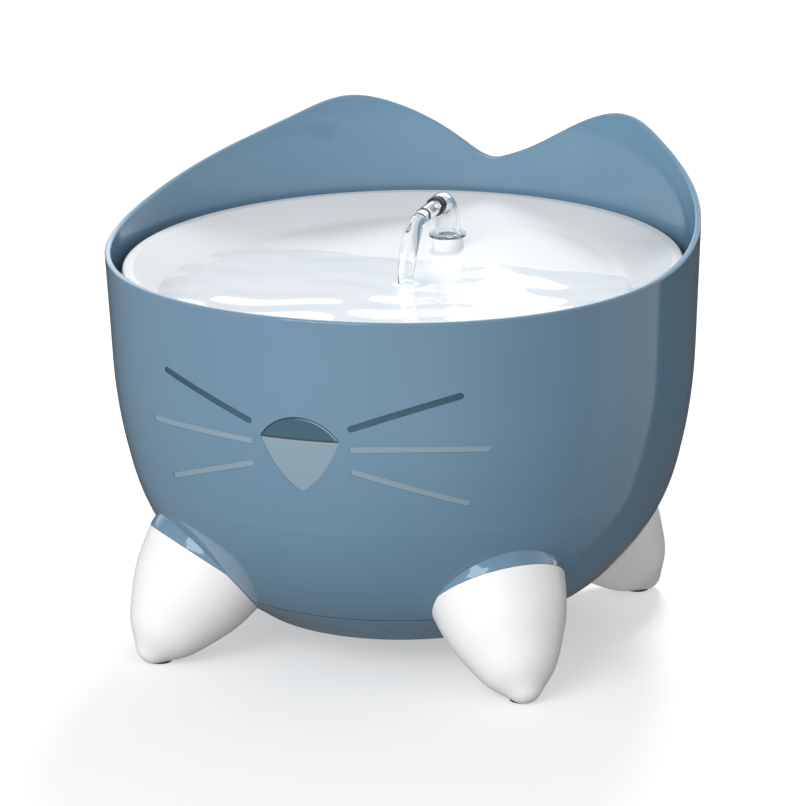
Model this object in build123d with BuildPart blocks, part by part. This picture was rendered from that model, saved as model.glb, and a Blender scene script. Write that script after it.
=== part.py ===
from build123d import *
from math import cos, hypot, radians, sin, sqrt, tan
import os

os.makedirs("parts", exist_ok=True)

# Millimetres and degrees. The origin is on the ground under the middle of the bowl,
# the face looks along -Y and +Z is up.

# Bowl outline, from the straight upper wall down to the base
shoulder_radius = 111.2
shoulder_height = 109.9
wall_draft = 2.7
flank_radius = 204.5
flank_angle = 12.2
belly_radius = 84.0
belly_angle = 40.3
base_height = 11.7
wall = 2.4
stock_top = 189.5
parting_height = 26.1
parting_gap = 0.3
floor_thickness = 3.2
floor_corner = 5.0

# Rim and ears; these angles run round from the back
front_rim = 151.1
side_rim = 150.3
side_rim_angle = 115.0
ear_tip = 181.5
ear_angle = 31.0
ear_spread = 10.0
ear_inner_drop = 4.2
ear_outer_drop = 5.2
ear_notch = 157.0
notch_angle = 8.0
notch_rise = 6.4
ear_foot_angles = (60.0, 85.0)
ear_foot_rises = (15.2, 4.6)
lip_round = 0.8
rim_cut_inside = 20.0
rim_cut_outside = 30.0
rim_cut_height = 60.0

# Legs
leg_tilt = 38.1
front_leg_angle = 43.8
front_leg_out = 1.2
rear_leg_angle = 129.2
rear_leg_out = -8.9
leg_tip = 1.4
leg_tip_walls = 3.0
leg_radii = (6.7, 12.6, 17.9, 23.1, 26.1)
leg_stations = (5.2, 11.2, 20.2, 32.2, 45.7)
leg_cut = 46.1
leg_top = 66.0
leg_wall = 2.2
shoe_gap = 0.15
pad_drop = 0.5
pad_recess = 1.0
pad_radius = 4.4
pad_inset = 7.5
pad_round = 0.3
pad_clearance = 0.05

# Foot tabs, base cover and their screws under the bowl
tab_width = 12.0
tab_thickness = 2.2
tab_clearance = 0.3
tab_overlap = 7.0
tab_screw_inset = 17.8
boss_radius = 4.0
boss_drop = 4.0
screw_radius = 1.5
screw_grip = 5.0
screw_clearance = 0.2
head_radius = 2.8
head_height = 1.7
cover_wall = 2.2
cover_screw_reach = 44.0
cover_screw_count = 4

# Face windows
nose_half_width = 15.5
nose_top = 113.5
nose_corner = 104.8
nose_bottom = 83.7
nose_bulge = 2.0
nose_round = 2.2
whisker_width = 2.5
whisker_starts = ((20.0, 110.1), (20.2, 102.0), (20.2, 93.1))
whisker_ends = ((57.5, 122.1), (65.4, 100.9), (57.5, 79.9))
whisker_bows = (0.5, 0.8, 0.6)
window_recess = 0.25
window_fit = 0.05
face_depth = 62.0
flange_width = 1.8
flange_thickness = 1.4
seal_thickness = 0.6

# Drinking tray
tray_inset = 4.5
tray_top = 143.5
tray_lip = 2.6
tray_wall = 2.3
tray_rim_width = 4.2
basin_slope = 16.5
basin_floor_height = 131.2
basin_floor_shift = -2.0
basin_tilt = 5.2
basin_corner = 12.0
tray_edge_round = 0.9
rib_count = 8
rib_drop = 5.0
rib_depth = 15.0
rib_thickness = 2.4
rib_hold = 2.7
overflow_height = 135.5
overflow_width = 7.0
overflow_depth = 2.2
overflow_pitch = 12.0
overflow_count = 5

# Lead grommet in the rear wall
grommet_height = 119.5
grommet_radius = 6.0
grommet_lip = 2.2
grommet_lip_thickness = 1.4
grommet_bore = 2.2

# Spout
spout_y = 50.0
pedestal_radius = 6.2
pedestal_top = 140.1
pedestal_foot = 121.5
collar_radius = 7.3
collar_height = 1.7
collar_round = 0.7
spigot_radius = 4.0
spigot_bore = 2.4
spigot_length = 9.0
swivel_clearance = 0.08
seal_drop = 3.6
ring_depth = 0.8
ring_width = 1.6
spout_radius = 5.2
spout_end_radius = 3.7
spout_wall = 1.25
spout_rise = 7.7
spout_bend = 7.5
spout_bend_angle = 90.0
spout_reach = 3.0
nozzle_spigot = 2.4
nozzle_plug = 4.0
nozzle_band = 2.8
nozzle_band_radius = 3.75
nozzle_neck = 2.5
nozzle_shoulder = 0.8
nozzle_round = 0.5
ring_round = 0.7
nozzle_radius = 3.0
nozzle_bore = 1.9
nozzle_length = 13.0

# Riser and its silicone coupler
riser_radius = 4.5
riser_bore = 3.0
socket_height = 130.1
nipple_top = 80.1
nipple_gap = 1.0
coupler_wall = 1.8
coupler_top = 89.5
coupler_foot = 72.7
slide_clearance = 0.3

# Pump, lying along Y with its outlet under the spout
pump_axis_height = 53.1
pump_width = 38.0
pump_height = 36.0
pump_corner = 5.0
pump_front = 6.0
pump_wall = 2.2
cap_thickness = 2.4
cap_rim = 1.5
chamber_radius = 17.0
chamber_wall = 2.2
chamber_start = 43.0
chamber_end = 57.0
chamber_floor = 2.0
seal_inner = 17.6
seal_outer = 18.6
seal_depth = 0.8
well_radius = 8.6
well_start = 13.0
well_wall = 1.4
cover_skirt = 1.5
cover_overlap = 3.0
intake_thickness = 3.0
intake_slots = 8
intake_slot_width = 2.4
intake_slot_length = 8.0
intake_slot_reach = 11.0
shaft_radius = 1.2
bush_radius = 3.0
bush_wall = 1.2
bush_length = 2.2
bush_stand = 1.2
running_clearance = 0.05
end_float = 0.2
hub_radius = 2.6
magnet_gap = 0.7
magnet_length = 26.0
magnet_start = 16.2
impeller_radius = 13.0
impeller_plate = 1.2
impeller_blades = 6
blade_thickness = 1.2
blade_gap = 0.8
stator_length = 12.0
stator_start = 20.0
stator_width = 30.0
stator_height = 28.0
stator_corner = 3.0
slot_count = 6
slot_radius = 1.6
slot_reach = 12.0
coil_outer = 13.8
coil_length = 5.0
potting_gap = 0.1
gland_x = 11.0
gland_y = 16.0
gland_radius = 3.6
gland_bore = 1.6
gland_stem = 3.8
gland_flange = 1.2
gland_flange_height = 1.4
cup_x = 11.0
cup_ys = (14.0, 36.0)
cup_radius = 6.2
cup_lip = 0.7
cup_neck = 2.6
cup_neck_height = 1.4
cup_stem = 1.8
cup_stem_length = 1.4

# Filter basket, foam sleeve, grid and cartridge
basket_y = 30.0
basket_floor_radius = 39.0
basket_rim_radius = 50.0
basket_rim_height = 87.5
basket_wall = 2.0
basket_slots = 16
basket_slot_width = 5.0
basket_slot_rise = 5.0
basket_slot_drop = 14.0
basket_clearance = 0.6
fence_thickness = 1.6
foam_gap = 0.3
foam_thickness = 3.6
foam_drop = 10.0
ledge_width = 2.5
ledge_thickness = 2.0
grid_drop = 6.0
grid_thickness = 2.0
grid_gap = 0.4
grid_slots = 12
grid_slot_width = 3.0
grid_slot_length = 20.0
grid_slot_reach = 30.0
cartridge_radius = 46.0
cartridge_wall = 2.0
cartridge_height = 12.5
chimney_gap = 1.2
chimney_wall = 1.5
bar_count = 6
bar_width = 3.0
bar_height = 2.0
carbon_depth = 3.5
pad_depth = 6.0


def sind(angle):
    return sin(radians(angle))


def cosd(angle):
    return cos(radians(angle))


def tand(angle):
    return tan(radians(angle))


def arc_point(centre, radius, heading):
    """Point on a wall arc, where the wall leans in by heading from straight down."""
    return (centre[0] + radius * cosd(heading), centre[1] - radius * sind(heading))


flank_centre = (shoulder_radius - flank_radius * cosd(wall_draft),
                shoulder_height + flank_radius * sind(wall_draft))
flank_lean = wall_draft + flank_angle
flank_foot = arc_point(flank_centre, flank_radius, flank_lean)
belly_centre = (flank_foot[0] - belly_radius * cosd(flank_lean),
                flank_foot[1] + belly_radius * sind(flank_lean))
belly_lean = flank_lean + belly_angle
floor_height = parting_height + floor_thickness


def wall_reach(height):
    """Outer radius of the bowl's belly at a height."""
    return belly_centre[0] + sqrt(belly_radius ** 2 - (height - belly_centre[1]) ** 2)


def wall_line(inset):
    """Draw the bowl outline moved in by inset and return its top and foot."""
    shoulder = arc_point(flank_centre, flank_radius - inset, wall_draft)
    flank_middle = arc_point(flank_centre, flank_radius - inset, wall_draft + flank_angle / 2)
    flank_end = arc_point(flank_centre, flank_radius - inset, flank_lean)
    belly_middle = arc_point(belly_centre, belly_radius - inset, flank_lean + belly_angle / 2)
    belly_end = arc_point(belly_centre, belly_radius - inset, belly_lean)
    top = (shoulder[0] + (stock_top - shoulder[1]) * tand(wall_draft), stock_top)
    foot = (belly_end[0] - (belly_end[1] - base_height) * tand(belly_lean), base_height)
    Line(top, shoulder)
    ThreePointArc(shoulder, flank_middle, flank_end)
    ThreePointArc(flank_end, belly_middle, belly_end)
    Line(belly_end, foot)
    return top, foot


def half_section(inset):
    """Half section of the solid that fills the bowl outline."""
    with BuildSketch(Plane.XY) as section:
        with BuildLine():
            top, foot = wall_line(inset)
            Polyline(foot, (0, base_height), (0, stock_top), top)
        make_face()
    return section.sketch


def wall_band(outer_inset, inner_inset):
    """Half section of a skin that follows the bowl wall."""
    with BuildSketch(Plane.XY) as section:
        with BuildLine():
            outer_top, outer_foot = wall_line(outer_inset)
            inner_top, inner_foot = wall_line(inner_inset)
            Line(outer_top, inner_top)
            Line(outer_foot, inner_foot)
        make_face()
    return section.sketch


def upright(angle):
    """Vertical plane through the bowl axis; local X points out at angle from the face."""
    out = Vector(sind(angle), -cosd(angle), 0)
    return Plane(origin=(0, 0, 0), x_dir=out, z_dir=out.cross(Vector(0, 0, 1)))


def level(height, angle=0):
    """Horizontal plane; local X points out at angle from the face."""
    out = Vector(sind(angle), -cosd(angle), 0)
    return Plane(origin=(0, 0, height), x_dir=out, z_dir=(0, 0, 1))


def basket_radius(height):
    """Outer radius of the tapered filter basket at a height."""
    share = (height - floor_height) / (basket_rim_height - floor_height)
    return basket_floor_radius + share * (basket_rim_radius - basket_floor_radius)


def basket_side(angle):
    """Upright plane through the basket axis whose normal points out at angle from the face."""
    return Plane(origin=(0, basket_y, 0), x_dir=(cosd(angle), sind(angle), 0),
                 z_dir=(sind(angle), -cosd(angle), 0))


def pump_section(y):
    """Plane across the pump axis; local Y is up and it extrudes towards the face."""
    return Plane(origin=(0, y, pump_axis_height), x_dir=(1, 0, 0), z_dir=(0, -1, 0))


def nose_outline(grow):
    """Nose shape seen from the front, moved out by grow."""
    with BuildSketch(Plane.XY) as outline:
        with BuildLine():
            ThreePointArc((-nose_half_width, nose_corner), (0, nose_top), (nose_half_width, nose_corner))
            SagittaArc((nose_half_width, nose_corner), (0, nose_bottom), nose_bulge)
            SagittaArc((0, nose_bottom), (-nose_half_width, nose_corner), nose_bulge)
        make_face()
        fillet(outline.vertices(), nose_round)
        if grow != 0:
            offset(amount=grow)
    return outline.sketch


def whisker_outline(grow):
    """The six whisker bars seen from the front, moved out by grow."""
    with BuildSketch(Plane.XY) as outline:
        for start, end, bow in zip(whisker_starts, whisker_ends, whisker_bows):
            for side in (-1, 1):
                inner = (side * start[0], start[1])
                outer = (side * end[0], end[1])
                middle = (side * (start[0] + end[0]) / 2, (start[1] + end[1]) / 2 + bow)
                SlotArc(ThreePointArc(inner, middle, outer, mode=Mode.PRIVATE), whisker_width + 2 * grow)
    return outline.sketch


def rim_curve(radius):
    """Height of the rim round the bowl, drawn on a cylinder; 0 degrees is the back."""
    ear_feet = [(angle, side_rim + rise) for angle, rise in zip(ear_foot_angles, ear_foot_rises)]
    stations = [(0, ear_notch), (notch_angle, ear_notch + notch_rise),
                (ear_angle - ear_spread, ear_tip - ear_inner_drop), (ear_angle, ear_tip),
                (ear_angle + ear_spread, ear_tip - ear_outer_drop), *ear_feet,
                (side_rim_angle, side_rim), (180, front_rim)]
    mirrored = [(360 - angle, height) for angle, height in stations[-2:0:-1]]
    points = [(radius * sind(angle), radius * cosd(angle), height)
              for angle, height in stations + mirrored]
    return Spline(*points, periodic=True, mode=Mode.PRIVATE)


def leg_reach(angle):
    """Distance out to the point where a leg's axis meets the ground."""
    return shoulder_radius + (front_leg_out if abs(angle) == front_leg_angle else rear_leg_out)


def leg_axis(angle):
    """Axis of a leg; angle is measured round from the face."""
    out = Vector(sind(angle), -cosd(angle), 0)
    return Axis(out * leg_reach(angle), (Vector(0, 0, 1) * cosd(leg_tilt) - out * sind(leg_tilt)))


def leg_plane(angle):
    """Plane that holds a leg's half section: local X across the leg, local Y up its axis."""
    axis = leg_axis(angle)
    side = Vector(cosd(angle), sind(angle), 0)
    return Plane(origin=axis.position, x_dir=side, z_dir=side.cross(axis.direction))


def leg_points(inset):
    """Outline of a leg from tip to top, moved in by inset."""
    outline = [(0, leg_tip), *zip(leg_radii, leg_stations), (leg_radii[-1], leg_top)]
    if inset == 0:
        return outline
    moved = [(0, leg_tip + leg_tip_walls * inset)]
    for before, here, after in zip(outline, outline[1:], outline[2:]):
        along = (after[0] - before[0], after[1] - before[1])
        length = hypot(*along)
        moved.append((here[0] - inset * along[1] / length, here[1] + inset * along[0] / length))
    moved.append((outline[-1][0] - inset, leg_top))
    return moved


def leg_section(inset, low, high):
    """Half section of a leg between two stations along its axis."""
    points = leg_points(inset)
    with BuildSketch(Plane.XY) as section:
        with BuildLine():
            Spline(*points, tangents=((1, 0), (0, 1)))
            Polyline(points[-1], (0, leg_top), points[0])
        make_face()
        with BuildLine():
            Polyline((0, low), (2 * leg_top, low), (2 * leg_top, high), (0, high), close=True)
        make_face(mode=Mode.INTERSECT)
    return section.sketch


face_plane = Plane(origin=(0, -face_depth, 0), x_dir=(1, 0, 0), z_dir=(0, -1, 0))
tray_seat = tray_top - tray_lip
tray_radius = shoulder_radius - tray_inset
basin_radius = tray_radius - tray_rim_width
basin_floor_radius = basin_radius - basin_slope
rib_reach = tray_radius - rib_hold
tab_top = parting_height - boss_drop
tab_foot = tab_top - tab_thickness
tab_screw_reach = wall_reach(tab_top) - tab_screw_inset
tab_start = tab_screw_reach - tab_width / 2
tab_end = wall_reach(tab_top) + tab_overlap
cover_floor = base_height + cover_wall
basin_plane = Plane(origin=(0, 0, basin_floor_height), x_dir=(1, 0, 0),
                    z_dir=(0, -sind(basin_tilt), cosd(basin_tilt)))
coupler_radius = riser_radius + slide_clearance + coupler_wall
riser_foot = nipple_top + nipple_gap
basket_floor = floor_height + basket_wall
basket_slot_low = basket_floor + basket_slot_rise
basket_slot_high = basket_rim_height - basket_slot_drop
foam_top = basket_rim_height - foam_drop
grid_height = basket_rim_height - grid_drop
grid_top = grid_height + grid_thickness
chimney_bore = coupler_radius + chimney_gap
chimney_radius = chimney_bore + chimney_wall
sleeve_radius = chimney_radius + slide_clearance
well_outer = well_radius + well_wall
pump_base = pump_axis_height - pump_height / 2
pump_top = pump_axis_height + pump_height / 2
bush_face = chamber_end - bush_stand
impeller_face = chamber_start + chamber_floor + blade_gap
leg_angles = {"front_left": -front_leg_angle, "front_right": front_leg_angle,
              "rear_left": -rear_leg_angle, "rear_right": rear_leg_angle}

# ---- Shapes used to cut and trim ----

with BuildPart() as rim_cutter:
    rim_face = Face.make_surface_from_curves(rim_curve(basin_radius - rim_cut_inside),
                                             rim_curve(basin_radius + rim_cut_outside))
    extrude(rim_face, amount=rim_cut_height, dir=(0, 0, 1))

with BuildPart() as reservoir_room:
    with BuildSketch(Plane.XZ):
        add(half_section(wall))
    revolve(axis=Axis.Z)
    split(bisect_by=Plane.XY.offset(floor_height))
    fillet(reservoir_room.edges().sort_by(Axis.Z)[0], floor_corner)

with BuildPart() as bowl_envelope:
    with BuildSketch(Plane.XZ):
        add(half_section(-shoe_gap))
    revolve(axis=Axis.Z)

with BuildPart() as basin_room:
    with BuildSketch(basin_plane):
        with Locations((0, basin_floor_shift)):
            Circle(basin_floor_radius)
    with BuildSketch(Plane.XY.offset(tray_top)):
        Circle(basin_radius)
    loft()
    fillet(basin_room.edges().filter_by(GeomType.CIRCLE).sort_by(Axis.Z)[0], basin_corner)

with BuildPart() as basin_skin:
    with BuildSketch(basin_plane.offset(-tray_wall)):
        with Locations((0, basin_floor_shift)):
            Circle(basin_floor_radius + tray_wall / 2)
    with BuildSketch(Plane.XY.offset(tray_seat)):
        Circle(basin_radius + tray_wall / 2)
    loft()
    fillet(basin_skin.edges().filter_by(GeomType.CIRCLE).sort_by(Axis.Z)[0], basin_corner + tray_wall)

# ---- Bowl ----

with BuildPart() as reservoir_bowl:
    with BuildSketch(Plane.XZ):
        add(half_section(0))
    revolve(axis=Axis.Z)
    for angle in leg_angles.values():
        with BuildSketch(leg_plane(angle)):
            add(leg_section(0, leg_cut, leg_top))
        revolve(axis=leg_axis(angle))
    split(bisect_by=Plane.XY.offset(parting_height))
    add(reservoir_room.part, mode=Mode.SUBTRACT)
    add(rim_cutter.part, mode=Mode.SUBTRACT)
    rim_top = reservoir_bowl.faces().sort_by(Axis.Z)[-1]
    fillet(rim_top.edges().filter_by(lambda edge: edge.length > shoulder_radius), lip_round)
    for index in range(rib_count):
        with BuildSketch(upright((index + 0.5) * 360 / rib_count)):
            root = shoulder_radius - wall / 2 + (tray_seat - shoulder_height) * tand(wall_draft)
            lean = rib_depth * tand(wall_draft)
            with BuildLine():
                Polyline((rib_reach, tray_seat), (root, tray_seat), (root - lean, tray_seat - rib_depth),
                         (rib_reach, tray_seat - rib_drop), close=True)
            make_face()
        extrude(amount=rib_thickness / 2, both=True)
    for angle in leg_angles.values():
        with BuildSketch(level(tab_top, angle)):
            with Locations((tab_screw_reach, 0)):
                Circle(boss_radius)
        extrude(amount=boss_drop)
    with BuildSketch(level(tab_top)):
        with PolarLocations(cover_screw_reach, cover_screw_count):
            Circle(boss_radius)
    extrude(amount=boss_drop)
    for angle in leg_angles.values():
        with BuildSketch(level(tab_top, angle)):
            with Locations((tab_screw_reach, 0)):
                Circle(screw_radius)
        extrude(amount=screw_grip, mode=Mode.SUBTRACT)
    with BuildSketch(level(tab_top)):
        with PolarLocations(cover_screw_reach, cover_screw_count):
            Circle(screw_radius)
    extrude(amount=screw_grip, mode=Mode.SUBTRACT)
    with BuildSketch(Plane.XY.offset(floor_height)):
        with Locations((0, basket_y)):
            Circle(basket_floor_radius + basket_clearance + fence_thickness)
            Circle(basket_floor_radius + basket_clearance, mode=Mode.SUBTRACT)
    extrude(amount=basket_wall)
    with BuildSketch(face_plane):
        add(nose_outline(0))
        add(whisker_outline(0))
    extrude(amount=face_depth, mode=Mode.SUBTRACT)
    with BuildSketch(Plane(origin=(0, 0, grommet_height), x_dir=(1, 0, 0), z_dir=(0, 1, 0))):
        Circle(grommet_radius)
    extrude(amount=2 * face_depth, mode=Mode.SUBTRACT)
reservoir_bowl.part.label = "reservoir_bowl"
export_step(reservoir_bowl.part, "parts/reservoir_bowl.step")

with BuildPart() as cord_grommet:
    with BuildSketch(Plane.XZ):
        add(wall_band(-grommet_lip_thickness, wall + grommet_lip_thickness))
    revolve(axis=Axis.Z)
    with BuildSketch(Plane(origin=(0, 0, grommet_height), x_dir=(1, 0, 0), z_dir=(0, 1, 0))):
        Circle(grommet_radius + grommet_lip)
        Circle(grommet_bore, mode=Mode.SUBTRACT)
    extrude(amount=2 * face_depth, mode=Mode.INTERSECT)
    add(reservoir_bowl.part, mode=Mode.SUBTRACT)
cord_grommet.part.label = "cord_grommet"
export_step(cord_grommet.part, "parts/cord_grommet.step")

# ---- Windows of the face ----

with BuildPart() as nose_flange:
    with BuildSketch(face_plane):
        add(nose_outline(flange_width))
    extrude(amount=face_depth)
    with BuildSketch(Plane.XZ):
        add(wall_band(wall + seal_thickness, wall + seal_thickness + flange_thickness))
    revolve(axis=Axis.Z, mode=Mode.INTERSECT)

with BuildPart() as nose_window:
    with BuildSketch(face_plane):
        add(nose_outline(-window_fit))
    extrude(amount=face_depth)
    with BuildSketch(Plane.XZ):
        add(wall_band(window_recess, wall + seal_thickness + flange_thickness))
    revolve(axis=Axis.Z, mode=Mode.INTERSECT)
    add(nose_flange.part)
nose_window.part.label = "nose_window"
export_step(nose_window.part, "parts/nose_window.step")

with BuildPart() as nose_seal:
    with BuildSketch(face_plane):
        add(nose_outline(flange_width))
        add(nose_outline(window_fit), mode=Mode.SUBTRACT)
    extrude(amount=face_depth)
    with BuildSketch(Plane.XZ):
        add(wall_band(wall, wall + seal_thickness))
    revolve(axis=Axis.Z, mode=Mode.INTERSECT)
nose_seal.part.label = "nose_seal"
export_step(nose_seal.part, "parts/nose_seal.step")

with BuildPart() as whisker_flanges:
    with BuildSketch(face_plane):
        add(whisker_outline(flange_width))
    extrude(amount=face_depth)
    with BuildSketch(Plane.XZ):
        add(wall_band(wall + seal_thickness, wall + seal_thickness + flange_thickness))
    revolve(axis=Axis.Z, mode=Mode.INTERSECT)

with BuildPart() as whisker_windows:
    with BuildSketch(face_plane):
        add(whisker_outline(-window_fit))
    extrude(amount=face_depth)
    with BuildSketch(Plane.XZ):
        add(wall_band(window_recess, wall + seal_thickness + flange_thickness))
    revolve(axis=Axis.Z, mode=Mode.INTERSECT)
    add(whisker_flanges.part)
whisker_windows.part.label = "whisker_windows"
export_step(whisker_windows.part, "parts/whisker_windows.step")

with BuildPart() as whisker_seals:
    with BuildSketch(face_plane):
        add(whisker_outline(flange_width))
        add(whisker_outline(window_fit), mode=Mode.SUBTRACT)
    extrude(amount=face_depth)
    with BuildSketch(Plane.XZ):
        add(wall_band(wall, wall + seal_thickness))
    revolve(axis=Axis.Z, mode=Mode.INTERSECT)
whisker_seals.part.label = "whisker_seals"
export_step(whisker_seals.part, "parts/whisker_seals.step")

# ---- Base cover ----

with BuildPart() as base_cover:
    with BuildSketch(Plane.XZ):
        add(half_section(0))
    revolve(axis=Axis.Z)
    split(bisect_by=Plane.XY.offset(parting_height - parting_gap), keep=Keep.BOTTOM)
    with BuildSketch(Plane.XZ) as cover_room:
        add(half_section(cover_wall))
        with BuildLine():
            Polyline((0, cover_floor), (0, stock_top + 1), (2 * tray_radius, stock_top + 1),
                     (2 * tray_radius, cover_floor), close=True)
        make_face(mode=Mode.INTERSECT)
    revolve(axis=Axis.Z, mode=Mode.SUBTRACT)
    with BuildSketch(level(base_height)):
        with PolarLocations(cover_screw_reach, cover_screw_count):
            Circle(boss_radius)
    extrude(amount=tab_top - base_height)
    with BuildSketch(level(base_height)):
        with PolarLocations(cover_screw_reach, cover_screw_count):
            Circle(screw_radius + screw_clearance)
    extrude(amount=boss_drop + cover_wall + tab_top, mode=Mode.SUBTRACT)
    with BuildSketch(level(base_height)):
        with PolarLocations(cover_screw_reach, cover_screw_count):
            Circle(head_radius + screw_clearance)
    extrude(amount=head_height + screw_clearance, mode=Mode.SUBTRACT)
    for angle in leg_angles.values():
        with BuildSketch(level(tab_foot - tab_clearance, angle)):
            with Locations(((tab_screw_reach + tab_end) / 2, 0)):
                Rectangle(tab_end - tab_screw_reach, tab_width + 2 * tab_clearance)
        extrude(amount=parting_height, mode=Mode.SUBTRACT)
base_cover.part.label = "base_cover"
export_step(base_cover.part, "parts/base_cover.step")

with BuildPart() as base_cover_screws:
    with BuildSketch(level(base_height)):
        with PolarLocations(cover_screw_reach, cover_screw_count):
            Circle(head_radius)
    extrude(amount=head_height)
    with BuildSketch(level(base_height)):
        with PolarLocations(cover_screw_reach, cover_screw_count):
            Circle(screw_radius)
    extrude(amount=tab_top + screw_grip - screw_clearance - base_height)
base_cover_screws.part.label = "base_cover_screws"
export_step(base_cover_screws.part, "parts/base_cover_screws.step")

# ---- Feet ----

with BuildPart() as foot_screws:
    for angle in leg_angles.values():
        with BuildSketch(level(tab_foot - head_height, angle)):
            with Locations((tab_screw_reach, 0)):
                Circle(head_radius)
        extrude(amount=head_height)
        with BuildSketch(level(tab_foot, angle)):
            with Locations((tab_screw_reach, 0)):
                Circle(screw_radius)
        extrude(amount=tab_thickness + screw_grip - screw_clearance)
foot_screws.part.label = "foot_screws"
export_step(foot_screws.part, "parts/foot_screws.step")

for corner, angle in leg_angles.items():
    with BuildPart() as tab_gusset:
        with BuildSketch(level(pad_drop, angle)):
            with Locations((tab_end - tab_width / 2, 0)):
                Rectangle(tab_width, tab_width)
        extrude(amount=tab_top - pad_drop)
        with BuildSketch(leg_plane(angle)):
            add(leg_section(0, leg_tip - 1, leg_cut - shoe_gap))
        revolve(axis=leg_axis(angle), mode=Mode.INTERSECT)

    with BuildPart() as foot:
        with BuildSketch(leg_plane(angle)):
            add(leg_section(0, leg_tip - 1, leg_cut - shoe_gap))
            add(leg_section(leg_wall, leg_tip - 1, leg_cut), mode=Mode.SUBTRACT)
        revolve(axis=leg_axis(angle))
        add(tab_gusset.part)
        add(bowl_envelope.part, mode=Mode.SUBTRACT)
        split(bisect_by=Plane.XY.offset(pad_drop))
        with BuildSketch(level(tab_foot, angle)):
            with Locations(((tab_start + tab_end) / 2, 0)):
                Rectangle(tab_end - tab_start, tab_width)
            with Locations((tab_screw_reach, 0)):
                Circle(screw_radius + screw_clearance, mode=Mode.SUBTRACT)
        extrude(amount=tab_thickness)
        with BuildSketch(level(pad_drop, angle)):
            with Locations((leg_reach(angle) - pad_inset, 0)):
                Circle(pad_radius + pad_clearance)
        extrude(amount=pad_recess, mode=Mode.SUBTRACT)
    foot.part.label = f"{corner}_foot"
    export_step(foot.part, f"parts/{corner}_foot.step")

    with BuildPart() as foot_pad:
        with BuildSketch(level(0, angle)):
            with Locations((leg_reach(angle) - pad_inset, 0)):
                Circle(pad_radius)
        extrude(amount=pad_drop + pad_recess)
        fillet(foot_pad.edges().filter_by(GeomType.CIRCLE).sort_by(Axis.Z)[0], pad_round)
    foot_pad.part.label = f"{corner}_foot_pad"
    export_step(foot_pad.part, f"parts/{corner}_foot_pad.step")

# ---- Drinking tray ----

with BuildPart() as drinking_tray:
    with BuildSketch(Plane.XY.offset(tray_seat)):
        Circle(tray_radius)
    extrude(amount=tray_lip)
    fillet(drinking_tray.edges().filter_by(GeomType.CIRCLE).sort_by(Axis.Z)[-1], tray_edge_round)
    add(basin_skin.part)
    add(basin_room.part, mode=Mode.SUBTRACT)
    with BuildSketch(Plane.XY.offset(pedestal_foot)):
        with Locations((0, spout_y)):
            Circle(pedestal_radius)
    extrude(amount=pedestal_top - pedestal_foot)
    with BuildSketch(Plane.XY.offset(pedestal_foot)):
        with Locations((0, spout_y)):
            Circle(riser_radius + running_clearance)
    extrude(amount=socket_height - pedestal_foot, mode=Mode.SUBTRACT)
    with BuildSketch(Plane.XY.offset(socket_height)):
        with Locations((0, spout_y)):
            Circle(spigot_radius + swivel_clearance)
    extrude(amount=pedestal_top - socket_height, mode=Mode.SUBTRACT)
    for index in range(overflow_count):
        with BuildSketch(upright((index - (overflow_count - 1) / 2) * overflow_pitch)):
            with Locations((basin_radius, overflow_height + overflow_depth / 2)):
                Rectangle(2 * basin_corner, overflow_depth)
        extrude(amount=overflow_width / 2, both=True, mode=Mode.SUBTRACT)
drinking_tray.part.label = "drinking_tray"
export_step(drinking_tray.part, "parts/drinking_tray.step")

with BuildPart() as riser_tube:
    with BuildSketch(Plane.XY.offset(riser_foot)):
        with Locations((0, spout_y)):
            Circle(riser_radius)
            Circle(riser_bore, mode=Mode.SUBTRACT)
    extrude(amount=socket_height - riser_foot)
riser_tube.part.label = "riser_tube"
export_step(riser_tube.part, "parts/riser_tube.step")

# ---- Spout ----

with BuildPart() as spout_collar:
    with BuildSketch(Plane.XY.offset(pedestal_top)):
        with Locations((0, spout_y)):
            Circle(collar_radius)
            Circle(spout_radius + swivel_clearance, mode=Mode.SUBTRACT)
    extrude(amount=collar_height)
    fillet(spout_collar.edges().filter_by(GeomType.CIRCLE).sort_by(SortBy.RADIUS)[-2:], collar_round)
spout_collar.part.label = "spout_collar"
export_step(spout_collar.part, "parts/spout_collar.step")

with BuildLine(Plane.YZ) as spout_path:
    rise = Line((spout_y, pedestal_top), (spout_y, pedestal_top + spout_rise))
    bend = JernArc(start=rise @ 1, tangent=rise % 1, radius=spout_bend, arc_size=spout_bend_angle)
    Line(bend @ 1, bend @ 1 + bend % 1 * spout_reach)
spout_line = spout_path.wires()[0]
mouth = Plane(origin=spout_line @ 1, x_dir=(1, 0, 0), z_dir=spout_line % 1)

with BuildPart() as spout_elbow:
    with BuildSketch(Plane(origin=spout_line @ 0, x_dir=(1, 0, 0), z_dir=(0, 0, 1))):
        Circle(spout_radius)
    with BuildSketch(mouth):
        Circle(spout_end_radius)
    sweep(path=spout_line, multisection=True)
    with BuildSketch(Plane.XY.offset(pedestal_top)):
        with Locations((0, spout_y)):
            Circle(spigot_radius)
    extrude(amount=-spigot_length)
    with BuildSketch(Plane(origin=spout_line @ 0, x_dir=(1, 0, 0), z_dir=(0, 0, 1))):
        Circle(spout_radius - spout_wall)
    with BuildSketch(mouth):
        Circle(spout_end_radius - spout_wall)
    sweep(path=spout_line, multisection=True, mode=Mode.SUBTRACT)
    with BuildSketch(Plane.XY.offset(pedestal_top)):
        with Locations((0, spout_y)):
            Circle(spigot_bore)
    extrude(amount=-spigot_length, mode=Mode.SUBTRACT)
    with BuildSketch(Plane.XY.offset(pedestal_top - seal_drop)):
        with Locations((0, spout_y)):
            Circle(spigot_radius)
            Circle(spigot_radius - ring_depth, mode=Mode.SUBTRACT)
    extrude(amount=-ring_width, mode=Mode.SUBTRACT)
spout_elbow.part.label = "spout_elbow"
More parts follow.
